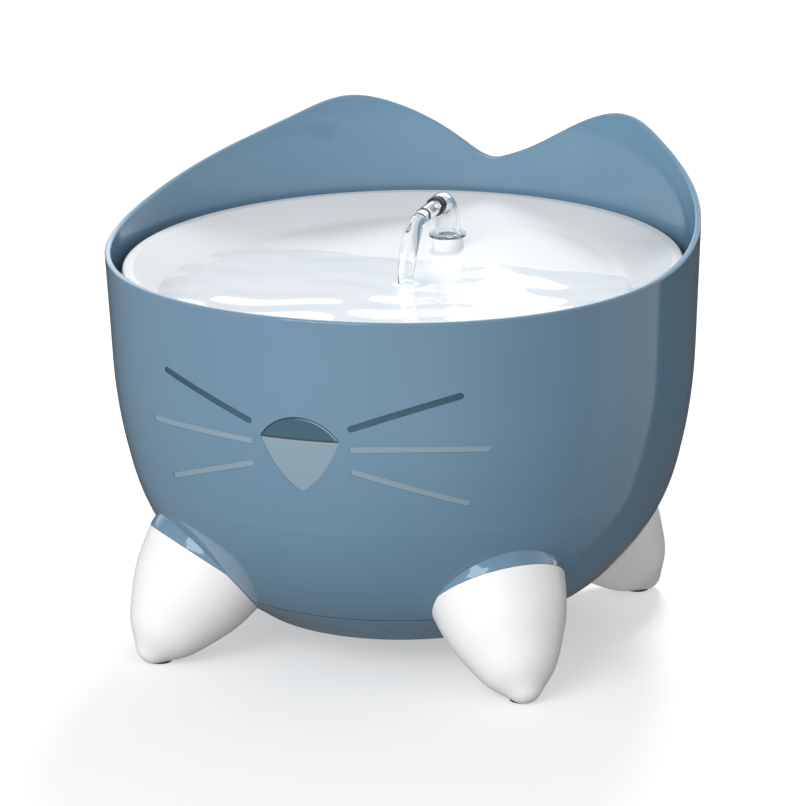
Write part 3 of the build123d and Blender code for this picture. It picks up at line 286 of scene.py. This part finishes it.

# Sintered ferrite: dark grey ceramic with a fine open grain, drawn at 0.5 mm, and painted shade in its
# pores.
sintered_ferrite, tree = start_finish("sintered_ferrite")
pore_mm = 0.5
place = put(tree, "ShaderNodeTexCoord")
pores = put(tree, "ShaderNodeTexVoronoi", {"Vector": place.outputs["Object"], "Scale": 1000 / pore_mm})
# Painted shade: darkest in the middle of each pore.
tint = put(tree, "ShaderNodeMix", {"Factor": pores.outputs["Distance"], "A": from_hex("#2B2B2D"),
                                   "B": from_hex("#434346")}, data_type="RGBA")
relief = put(tree, "ShaderNodeBump", {"Height": pores.outputs["Distance"], "Strength": 0.3,
                                      "Distance": 0.0001})
surface = put(tree, "ShaderNodeBsdfPrincipled", {"Base Color": tint, "Roughness": 0.6, "Normal": relief})
put(tree, "ShaderNodeOutputMaterial", {"Surface": surface})
dress(sintered_ferrite, "rotor_magnet")

# Ground alumina: cream white, hard and smooth, with grinding lines round it drawn at 0.3 mm.
ground_alumina, tree = start_finish("ground_alumina")
grind_mm = 0.3
place = put(tree, "ShaderNodeTexCoord")
grind = put(tree, "ShaderNodeTexWave", {"Vector": place.outputs["Object"], "Scale": 1000 / grind_mm / 20,
                                        "Distortion": 0.5}, bands_direction="Y")
gloss = put(tree, "ShaderNodeMapRange", {"Value": grind.outputs["Fac"], "To Min": 0.15, "To Max": 0.25})
surface = put(tree, "ShaderNodeBsdfPrincipled", {"Base Color": from_hex("#F0EDE2"), "Roughness": gloss,
                                                 "IOR": 1.76})
put(tree, "ShaderNodeOutputMaterial", {"Surface": surface})
dress(ground_alumina, "impeller_shaft")

# Silicon steel punched from 0.5 mm sheet and stacked along the pump: each sheet edge shows as a line.
stacked_steel, tree = start_finish("stacked_silicon_steel")
sheet_mm = 0.5
place = put(tree, "ShaderNodeTexCoord")
sheets = put(tree, "ShaderNodeTexWave", {"Vector": place.outputs["Object"], "Scale": 1000 / sheet_mm / 20,
                                         "Distortion": 0.1}, bands_direction="Y", wave_profile="SAW")
tint = put(tree, "ShaderNodeMix", {"Factor": sheets.outputs["Fac"], "A": from_hex("#55565A"),
                                   "B": from_hex("#8A8B8E")}, data_type="RGBA")
relief = put(tree, "ShaderNodeBump", {"Height": sheets.outputs["Fac"], "Strength": 0.5, "Distance": 0.0001})
surface = put(tree, "ShaderNodeBsdfPrincipled", {"Base Color": tint, "Metallic": 0.9, "Roughness": 0.45,
                                                 "Normal": relief})
put(tree, "ShaderNodeOutputMaterial", {"Surface": surface})
dress(stacked_steel, "pump_stator")

# Enamelled copper wire of 0.3 mm, wound in close turns: a red-brown gloss broken into fine ridges, with
# painted shade in the grooves between them.
wound_copper, tree = start_finish("wound_enamelled_copper")
wire_mm = 0.3
place = put(tree, "ShaderNodeTexCoord")
turns = put(tree, "ShaderNodeTexWave", {"Vector": place.outputs["Object"], "Scale": 1000 / wire_mm / 20,
                                        "Distortion": 0.3}, bands_direction="Y")
# Painted shade: the colour darkens in the grooves between the turns.
tint = put(tree, "ShaderNodeMix", {"Factor": turns.outputs["Fac"], "A": from_hex("#5B2412"),
                                   "B": from_hex("#B4622E")}, data_type="RGBA")
relief = put(tree, "ShaderNodeBump", {"Height": turns.outputs["Fac"], "Strength": 0.6, "Distance": 0.0001})
surface = put(tree, "ShaderNodeBsdfPrincipled", {"Base Color": tint, "Metallic": 0.8, "Roughness": 0.3,
                                                 "Normal": relief})
put(tree, "ShaderNodeOutputMaterial", {"Surface": surface})
dress(wound_copper, "pump_coil")

# ---- Filter basket, grid, foam sleeve and cartridge ----
# A slotted polypropylene basket stands round the pump and holds a foam sleeve and a grid.
# The cartridge on the grid is a welded frame with carbon granules under a needled polyester pad.

# Natural polypropylene: pale, waxy and slightly see-through, with a soft shine.
natural_pp, tree = start_finish("moulded_natural_polypropylene")
melt_mm = 8.0
place = put(tree, "ShaderNodeTexCoord")
melt = put(tree, "ShaderNodeTexNoise", {"Vector": place.outputs["Object"], "Scale": 1000 / melt_mm,
                                        "Detail": 2.0})
tint = put(tree, "ShaderNodeMix", {"Factor": melt, "A": from_hex("#DADFE0"), "B": from_hex("#E4E8E9")},
           data_type="RGBA")
gloss = put(tree, "ShaderNodeMapRange", {"Value": melt, "To Min": 0.34, "To Max": 0.44})
surface = put(tree, "ShaderNodeBsdfPrincipled", {"Base Color": tint, "Roughness": gloss, "IOR": 1.49,
                                                 "Subsurface Weight": 0.15, "Subsurface Scale": 0.002})
put(tree, "ShaderNodeOutputMaterial", {"Surface": surface})
dress(natural_pp, "filter_housing", "filter_grid", "filter_frame", "riser_tube")

# Reticulated polyurethane foam with about 12 cells to the centimetre: dark and open, with no shine, and
# painted shade deep in each open cell.
open_foam, tree = start_finish("open_cell_polyurethane_foam")
cell_mm = 0.85
place = put(tree, "ShaderNodeTexCoord")
cells = put(tree, "ShaderNodeTexVoronoi", {"Vector": place.outputs["Object"], "Scale": 1000 / cell_mm})
# Painted shade: darkest in the middle of each open cell.
tint = put(tree, "ShaderNodeMix", {"Factor": cells.outputs["Distance"], "A": from_hex("#0B0B0C"),
                                   "B": from_hex("#3A3B3D")}, data_type="RGBA")
relief = put(tree, "ShaderNodeBump", {"Height": cells.outputs["Distance"], "Strength": 0.9,
                                      "Distance": 0.0006})
surface = put(tree, "ShaderNodeBsdfPrincipled", {"Base Color": tint, "Roughness": 0.95, "Normal": relief})
put(tree, "ShaderNodeOutputMaterial", {"Surface": surface})
dress(open_foam, "foam_sleeve")

# Needled polyester wadding: matt white, with tangled fibres drawn at 0.6 mm.
needled_polyester, tree = start_finish("needled_polyester_wadding")
fibre_mm = 0.6
place = put(tree, "ShaderNodeTexCoord")
tangle = put(tree, "ShaderNodeTexNoise", {"Vector": place.outputs["Object"], "Scale": 1000 / fibre_mm,
                                          "Detail": 6.0, "Distortion": 3.0})
tint = put(tree, "ShaderNodeMix", {"Factor": tangle, "A": from_hex("#DCDCD8"), "B": from_hex("#F6F6F3")},
           data_type="RGBA")
relief = put(tree, "ShaderNodeBump", {"Height": tangle, "Strength": 0.8, "Distance": 0.0006})
surface = put(tree, "ShaderNodeBsdfPrincipled", {"Base Color": tint, "Roughness": 0.95, "Normal": relief,
                                                 "Sheen Weight": 0.3})
put(tree, "ShaderNodeOutputMaterial", {"Surface": surface})
dress(needled_polyester, "filter_pad")

# Coconut carbon in 1.5 mm granules: black and angular, with a few bright facets and painted shade in the
# gaps between the granules.
carbon_granules, tree = start_finish("coconut_carbon_granules")
granule_mm = 1.5
place = put(tree, "ShaderNodeTexCoord")
granules = put(tree, "ShaderNodeTexVoronoi", {"Vector": place.outputs["Object"], "Scale": 1000 / granule_mm})
# Painted shade: darker towards the gaps between the granules.
tint = put(tree, "ShaderNodeMix", {"Factor": granules.outputs["Distance"], "A": from_hex("#2A2B2D"),
                                   "B": from_hex("#08080A")}, data_type="RGBA")
gloss = put(tree, "ShaderNodeMapRange", {"Value": granules.outputs["Color"], "To Min": 0.3, "To Max": 0.8})
relief = put(tree, "ShaderNodeBump", {"Height": granules.outputs["Distance"], "Strength": 1.0,
                                      "Distance": 0.0008}, invert=True)
surface = put(tree, "ShaderNodeBsdfPrincipled", {"Base Color": tint, "Roughness": gloss, "Normal": relief})
put(tree, "ShaderNodeOutputMaterial", {"Surface": surface})
dress(carbon_granules, "carbon_bed")

# So is the sleeve that joins the pump to the riser.
dress(milky_silicone, "outlet_coupler")

# ---- Drinking tray ----
# A dish of white polypropylene that hangs in the rim on its flange, with the pedestal of the spout.
# It is injection moulded, with a floor that falls towards the front and five slots that let high water out.

# White polypropylene: a soft semi-gloss over a faint bloom.
# Painted shade: the slope on the right, where the light skims over it, is drawn a little greyer.
white_pp, tree = start_finish("moulded_white_polypropylene")
bloom_mm = 2.5
place = put(tree, "ShaderNodeTexCoord")
grain = put(tree, "ShaderNodeTexNoise", {"Vector": place.outputs["Object"], "Scale": 1000 / bloom_mm,
                                         "Detail": 2.0})
tint = put(tree, "ShaderNodeMix", {"Factor": grain, "A": from_hex("#E6E8EA"), "B": from_hex("#EAEBEC")},
           data_type="RGBA")
lean = put(tree, "ShaderNodeSeparateXYZ", {"Vector": place.outputs["Normal"]})
steep = put(tree, "ShaderNodeMapRange", {"Value": lean.outputs["X"], "From Min": -0.12, "From Max": -0.38})
upward = put(tree, "ShaderNodeMapRange", {"Value": lean.outputs["Z"], "From Min": 0.3, "From Max": 0.5})
painted_slope_shade = put(tree, "ShaderNodeMath", {0: steep, 1: upward}, operation="MULTIPLY")
# Painted shade on the right slope, by the direction its face points.
shaded = put(tree, "ShaderNodeMix", {"Factor": painted_slope_shade, "A": tint, "B": from_hex("#CCD1D5")},
             data_type="RGBA")
gloss = put(tree, "ShaderNodeMapRange", {"Value": grain, "To Min": 0.42, "To Max": 0.5})
surface = put(tree, "ShaderNodeBsdfPrincipled", {"Base Color": shaded, "Roughness": gloss, "IOR": 1.49})
put(tree, "ShaderNodeOutputMaterial", {"Surface": surface})
dress(white_pp, "drinking_tray")

# ---- Spout ----
# Gooseneck, collar and outlet, moulded in clear acrylic and pushed together.
# Black rubber rings seal the outlet on the gooseneck and the gooseneck in its socket.

# Clear acrylic, polished, with a trace of haze: its edges catch light and dark, and its shadow is pale.
clear_acrylic, tree = start_finish("polished_clear_acrylic")
haze_mm = 1.5
place = put(tree, "ShaderNodeTexCoord")
haze = put(tree, "ShaderNodeTexNoise", {"Vector": place.outputs["Object"], "Scale": 1000 / haze_mm,
                                        "Detail": 3.0})
tint = put(tree, "ShaderNodeMix", {"Factor": haze, "A": from_hex("#F8FBFC"), "B": from_hex("#FEFEFE")},
           data_type="RGBA")
gloss = put(tree, "ShaderNodeMapRange", {"Value": haze, "To Min": 0.005, "To Max": 0.035})
surface = put(tree, "ShaderNodeBsdfPrincipled", {"Base Color": tint, "Roughness": gloss, "IOR": 1.49,
                                                 "Transmission Weight": 1.0})
see_through = put(tree, "ShaderNodeBsdfTransparent", {"Color": from_hex("#F4F7F8")})
ray = put(tree, "ShaderNodeLightPath")
clear_mix = put(tree, "ShaderNodeMixShader", {"Fac": ray.outputs["Is Shadow Ray"], 1: surface,
                                              2: see_through})
put(tree, "ShaderNodeOutputMaterial", {"Surface": clear_mix})
dress(clear_acrylic, "spout_collar", "spout_elbow", "nozzle")
dress(black_rubber, "nozzle_o_ring", "spout_seal")

# ---- Water in the dish ----
# The pool fills the low front of the dish, and the falling stream sends rings across it.
# Its edge is found on the dish itself, so it ends where the sloping floor comes up through it.

pool_level = 0.1344
landing = Vector((0.0, 0.0027))
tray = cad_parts["drinking_tray"]
spokes = 240
rings = 150
shortest = 0.005
longest = 0.104
stride = 0.0003
over_dish = 0.16
edges = []
for index in range(spokes):
    heading = Vector((math.cos(2 * math.pi * index / spokes), math.sin(2 * math.pi * index / spokes)))
    reach = shortest
    while reach < longest:
        spot = landing + heading * reach
        hit, where, _, _ = tray.ray_cast(Vector((spot.x, spot.y, over_dish)), Vector((0, 0, -1)))
        if not hit or where.z > pool_level:
            break
        reach += stride
    edges.append(reach)


def ripple(x, y):
    """Height of the rings and of the slow swirls at a place on the pool."""
    ring_gap = 0.0013
    ring_fade = 0.0065
    away = math.hypot(x - landing.x, y - landing.y)
    ring = math.sin(away / ring_gap - 1.2) * math.exp(-away / ring_fade)
    swirl = (math.sin(x * 75 + math.sin(y * 90) * 1.4) * math.cos(y * 190 - x * 25)
             + 0.5 * math.sin(y * 330 + math.sin(x * 120 + 0.7) * 1.8))
    ring_height = 0.00018
    swirl_height = 0.00017
    return ring * ring_height + swirl * swirl_height


pool = bpy.data.meshes.new("dish_water")
build = bmesh.new()
middle = build.verts.new((landing.x, landing.y, pool_level + ripple(landing.x, landing.y)))
rows = []
for ring_index in range(1, rings + 1):
    row = []
    for index in range(spokes):
        reach = edges[index] * ring_index / rings
        turn = 2 * math.pi * index / spokes
        x = landing.x + reach * math.cos(turn)
        y = landing.y + reach * math.sin(turn)
        row.append(build.verts.new((x, y, pool_level + ripple(x, y))))
    rows.append(row)
for index in range(spokes):
    after = (index + 1) % spokes
    build.faces.new((middle, rows[0][index], rows[0][after]))
    for inner, outer in zip(rows, rows[1:]):
        build.faces.new((inner[index], outer[index], outer[after], inner[after]))
build.normal_update()
build.to_mesh(pool)
build.free()
pool.shade_smooth()
dish_water = bpy.data.objects.new("dish_water", pool)
bpy.context.scene.collection.objects.link(dish_water)

# Clean water: seen through almost untouched, with a mirror skin that strengthens at a glance.
# Light that comes up from the dish passes the skin, so the dish under it stays bright. The mirror is drawn
# weaker than water's own (IOR 1.33), which would turn the whole pool blue under the ears.
pool_water, tree = start_finish("still_clear_water")
skin = put(tree, "ShaderNodeBsdfGlossy", {"Color": (1, 1, 1, 1), "Roughness": 0.0})
through = put(tree, "ShaderNodeBsdfTransparent", {"Color": from_hex("#FCFDFE")})
glance = put(tree, "ShaderNodeFresnel", {"IOR": 1.2})
facing = put(tree, "ShaderNodeNewGeometry")
outside = put(tree, "ShaderNodeMath", {0: 1.0, 1: facing.outputs["Backfacing"]}, operation="SUBTRACT")
mirror = put(tree, "ShaderNodeMath", {0: glance, 1: outside}, operation="MULTIPLY")
mixed = put(tree, "ShaderNodeMixShader", {"Fac": mirror, 1: through, 2: skin})
put(tree, "ShaderNodeOutputMaterial", {"Surface": mixed})
pool.materials.append(pool_water)
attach(dish_water, "tray")

# ---- Stream ----
# Water leaves the outlet level, bends down and falls as one clear rope that swells a little on its way.
# It ends just under the skin of the pool.

mouth_low, mouth_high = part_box("nozzle")
mouth_gap = 0.0001
dip = 0.0008
start = Vector((0.0, mouth_low.y - mouth_gap, (mouth_low.z + mouth_high.z) / 2))
end = Vector((0.0, landing.y, pool_level - dip))
leaving = Vector((0, -0.0109, 0))
arriving = Vector((0, 0.0016, 0.0124))
pulls = (start, start + leaving, end + arriving, end)
mouth_radius = 0.0025
foot_gain = 0.0003
middle_gain = 0.0007
steps = 48
around = 32
stream_mesh = bpy.data.meshes.new("water_stream")
build = bmesh.new()
loops = []
for step in range(steps + 1):
    share = step / steps
    left = 1 - share
    centre = (pulls[0] * left ** 3 + pulls[1] * 3 * left ** 2 * share + pulls[2] * 3 * left * share ** 2
              + pulls[3] * share ** 3)
    along = ((pulls[1] - pulls[0]) * left ** 2 + (pulls[2] - pulls[1]) * 2 * left * share
             + (pulls[3] - pulls[2]) * share ** 2).normalized()
    side = Vector((1, 0, 0))
    other = along.cross(side).normalized()
    size = mouth_radius + foot_gain * share + middle_gain * math.sin(math.pi * share)
    loop = []
    for index in range(around):
        turn = 2 * math.pi * index / around
        wobble = 1 + 0.05 * math.sin(2 * turn + 4 * share) + 0.02 * math.sin(3 * turn - 6 * share)
        outward = side * math.cos(turn) + other * math.sin(turn)
        loop.append(build.verts.new(centre + outward * size * wobble))
    loops.append(loop)
for lower, upper in zip(loops, loops[1:]):
    for index in range(around):
        after = (index + 1) % around
        build.faces.new((lower[index], lower[after], upper[after], upper[index]))
build.faces.new(loops[0])
build.faces.new(list(reversed(loops[-1])))
bmesh.ops.recalc_face_normals(build, faces=build.faces)
build.to_mesh(stream_mesh)
build.free()
stream_mesh.shade_smooth()
water_stream = bpy.data.objects.new("water_stream", stream_mesh)
bpy.context.scene.collection.objects.link(water_stream)

# Running water: clear, with dark and bright edges where it bends what stands behind it.
running_water, tree = start_finish("running_clear_water")
surface = put(tree, "ShaderNodeBsdfPrincipled", {"Base Color": from_hex("#FCFEFF"), "Roughness": 0.0,
                                                 "IOR": 1.33, "Transmission Weight": 1.0})
see_through = put(tree, "ShaderNodeBsdfTransparent", {"Color": from_hex("#F6FAFB")})
ray = put(tree, "ShaderNodeLightPath")
clear_mix = put(tree, "ShaderNodeMixShader", {"Fac": ray.outputs["Is Shadow Ray"], 1: surface,
                                              2: see_through})
put(tree, "ShaderNodeOutputMaterial", {"Surface": clear_mix})
stream_mesh.materials.append(running_water)

# The stream turns and lifts with the outlet that it comes from.
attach(water_stream, "spout")

# ---- Studio ----
# A plain white floor in a white room that is darker on the right, with the key light high behind the ears.
# The camera looks down on the face, a little from the right.

# Matt white paper: it glows a little by itself, so that only the shadows of the fountain darken it.
floor_reach = 12.0
floor_mesh = bpy.data.meshes.new("studio_floor")
build = bmesh.new()
bmesh.ops.create_grid(build, x_segments=2, y_segments=2, size=floor_reach)
build.to_mesh(floor_mesh)
build.free()
studio_floor = bpy.data.objects.new("studio_floor", floor_mesh)
bpy.context.scene.collection.objects.link(studio_floor)
floor_paper, tree = start_finish("white_studio_floor")
paper = put(tree, "ShaderNodeBsdfDiffuse", {"Color": from_hex("#CECECE")})
sheen = put(tree, "ShaderNodeEmission", {"Color": (1, 1, 1, 1), "Strength": 0.43})
surface = put(tree, "ShaderNodeAddShader", {0: paper, 1: sheen})
put(tree, "ShaderNodeOutputMaterial", {"Surface": surface})
floor_mesh.materials.append(floor_paper)
studio_floor.visible_glossy = False
studio_floor.visible_diffuse = False


def grey(level):
    """A neutral colour for the room, where 1 is white paper in full light."""
    return (level, level, level, 1)


# The walls by compass: brightest ahead of the face, dim on the right with one pale door, dark behind.
sky = bpy.data.worlds.new("white_room")
bpy.context.scene.world = sky
sky.use_nodes = True
tree = sky.node_tree
tree.nodes.clear()
place = put(tree, "ShaderNodeTexCoord")
way = put(tree, "ShaderNodeSeparateXYZ", {"Vector": place.outputs["Generated"]})
front = put(tree, "ShaderNodeMath", {0: way.outputs["Y"], 1: -1.0}, operation="MULTIPLY")
turn = put(tree, "ShaderNodeMath", {0: way.outputs["X"], 1: front}, operation="ARCTAN2")
share = put(tree, "ShaderNodeMapRange", {"Value": turn, "From Min": -math.pi, "From Max": math.pi})
walls = put(tree, "ShaderNodeValToRGB", {"Fac": share})
dark_wall = 0.08
cool_cast = 1.01
last_stop = 0.999
stops = walls.color_ramp.elements
stops[0].color = (dark_wall, dark_wall, dark_wall * cool_cast, 1)
stops[-1].color = grey(dark_wall)
for angle, bright in ((-140, 0.1), (-105, 0.35), (-60, 0.62), (-25, 0.92), (30, 0.92), (62, 0.5), (80, 0.42),
                      (98, 0.42), (106, 0.8), (138, 0.85), (140, dark_wall), (180, 0.1)):
    stops.new((angle + 180) / 360 * last_stop).color = (bright, bright, bright * cool_cast, 1)

# The wall behind the ears is bright from a little over the floor, and the ceiling and the ground are dimmer.
behind = put(tree, "ShaderNodeMapRange", {"Value": way.outputs["Y"], "From Min": 0.2, "From Max": 0.5})
risen = put(tree, "ShaderNodeMapRange", {"Value": way.outputs["Z"], "From Min": 0.04, "From Max": 0.14})
rear_wall = put(tree, "ShaderNodeMath", {0: behind, 1: risen}, operation="MULTIPLY")
sides = put(tree, "ShaderNodeMix", {"Factor": rear_wall, "A": walls, "B": grey(1.6)}, data_type="RGBA")
above = put(tree, "ShaderNodeMapRange", {"Value": way.outputs["Z"], "From Min": 0.35, "From Max": 0.75})
ceiling = put(tree, "ShaderNodeMix", {"Factor": above, "A": sides, "B": grey(0.48)}, data_type="RGBA")
below = put(tree, "ShaderNodeMapRange", {"Value": way.outputs["Z"], "From Min": -0.3, "From Max": -0.8})
ground = put(tree, "ShaderNodeMix", {"Factor": below, "A": ceiling, "B": grey(0.18)}, data_type="RGBA")

# A panel that slants across the rear wall makes the sharp white patches on the pool.
panel_slant = 0.374
slant = put(tree, "ShaderNodeMath", {0: way.outputs["X"], 1: panel_slant, 2: way.outputs["Z"]},
            operation="MULTIPLY_ADD")
panel_foot = put(tree, "ShaderNodeMapRange", {"Value": slant, "From Min": 0.1400, "From Max": 0.1420})
panel_head = put(tree, "ShaderNodeMapRange", {"Value": slant, "From Min": 0.30, "From Max": 0.26})
panel_side = put(tree, "ShaderNodeMapRange", {"Value": way.outputs["Y"], "From Min": 0.6, "From Max": 0.7})
panel = put(tree, "ShaderNodeMath", {0: panel_foot, 1: panel_head}, operation="MULTIPLY")
panel_lit = put(tree, "ShaderNodeMath", {0: panel, 1: panel_side}, operation="MULTIPLY")
softbox = put(tree, "ShaderNodeMix", {"Factor": panel_lit, "A": ground, "B": grey(2.3)}, data_type="RGBA")

# Matt faces get little light from the right, and the room behind the floor is seen as plain white.
ray = put(tree, "ShaderNodeLightPath")
right_side = put(tree, "ShaderNodeMapRange", {"Value": turn, "From Min": math.radians(70),
                                              "From Max": math.radians(100)})
dim = put(tree, "ShaderNodeMath", {0: right_side, 1: ray.outputs["Is Diffuse Ray"]}, operation="MULTIPLY")
level_band = put(tree, "ShaderNodeMapRange", {"Value": way.outputs["Z"], "From Min": 0.5, "From Max": 0.2})
dimmer = put(tree, "ShaderNodeMath", {0: dim, 1: level_band}, operation="MULTIPLY")
room_light = put(tree, "ShaderNodeMix", {"Factor": dimmer, "A": softbox, "B": grey(0.1)}, data_type="RGBA")
backdrop = put(tree, "ShaderNodeMix", {"Factor": ray.outputs["Is Camera Ray"], "A": room_light,
                                       "B": grey(1.0)}, data_type="RGBA")
glow = put(tree, "ShaderNodeBackground", {"Color": backdrop, "Strength": 1.0})
put(tree, "ShaderNodeOutputWorld", {"Surface": glow})


def hang_light(name, place, target, width, height, power):
    """A soft rectangular light that faces a point."""
    lamp = bpy.data.lights.new(name, "AREA")
    lamp.shape = "RECTANGLE"
    lamp.size = width
    lamp.size_y = height
    lamp.energy = power
    holder = bpy.data.objects.new(name, lamp)
    holder.location = place
    holder.rotation_euler = (Vector(target) - Vector(place)).to_track_quat("-Z", "Y").to_euler()
    bpy.context.scene.collection.objects.link(holder)
    return holder


# The key is a small softbox behind, hidden from mirrors; the front light is large and weak.
key_light = hang_light("key_light", (-0.317, 1.63, 1.563), (0, 0, 0.12), 0.5, 0.5, 32)
key_light.visible_glossy = False
hang_light("front_light", (-0.45, -2.35, 1.5), (0, 0, 0.08), 1.6, 1.4, 36)

# A long lens from two metres away, turned by compass bearing, downward drop and a slight roll.
camera_data = bpy.data.cameras.new("studio_camera")
camera_data.sensor_width = 36.0
camera_data.lens = 254.46
camera_data.clip_end = 50.0
studio_camera = bpy.data.objects.new("studio_camera", camera_data)
bpy.context.scene.collection.objects.link(studio_camera)
camera_place = Vector((0.737459, -1.955577, 0.715512))
bearing = math.radians(20.684)
drop = math.radians(16.741)
roll = math.radians(1.023)
look = Vector((-math.sin(bearing) * math.cos(drop), math.cos(bearing) * math.cos(drop), -math.sin(drop)))
level_right = Vector((math.cos(bearing), math.sin(bearing), 0))
level_up = level_right.cross(look)
right = level_right * math.cos(roll) - level_up * math.sin(roll)
up = level_right * math.sin(roll) + level_up * math.cos(roll)
turned = Matrix((right, up, -look)).transposed().to_4x4()
studio_camera.matrix_world = Matrix.Translation(camera_place) @ turned
bpy.context.scene.camera = studio_camera
bpy.context.scene.view_settings.view_transform = "Standard"
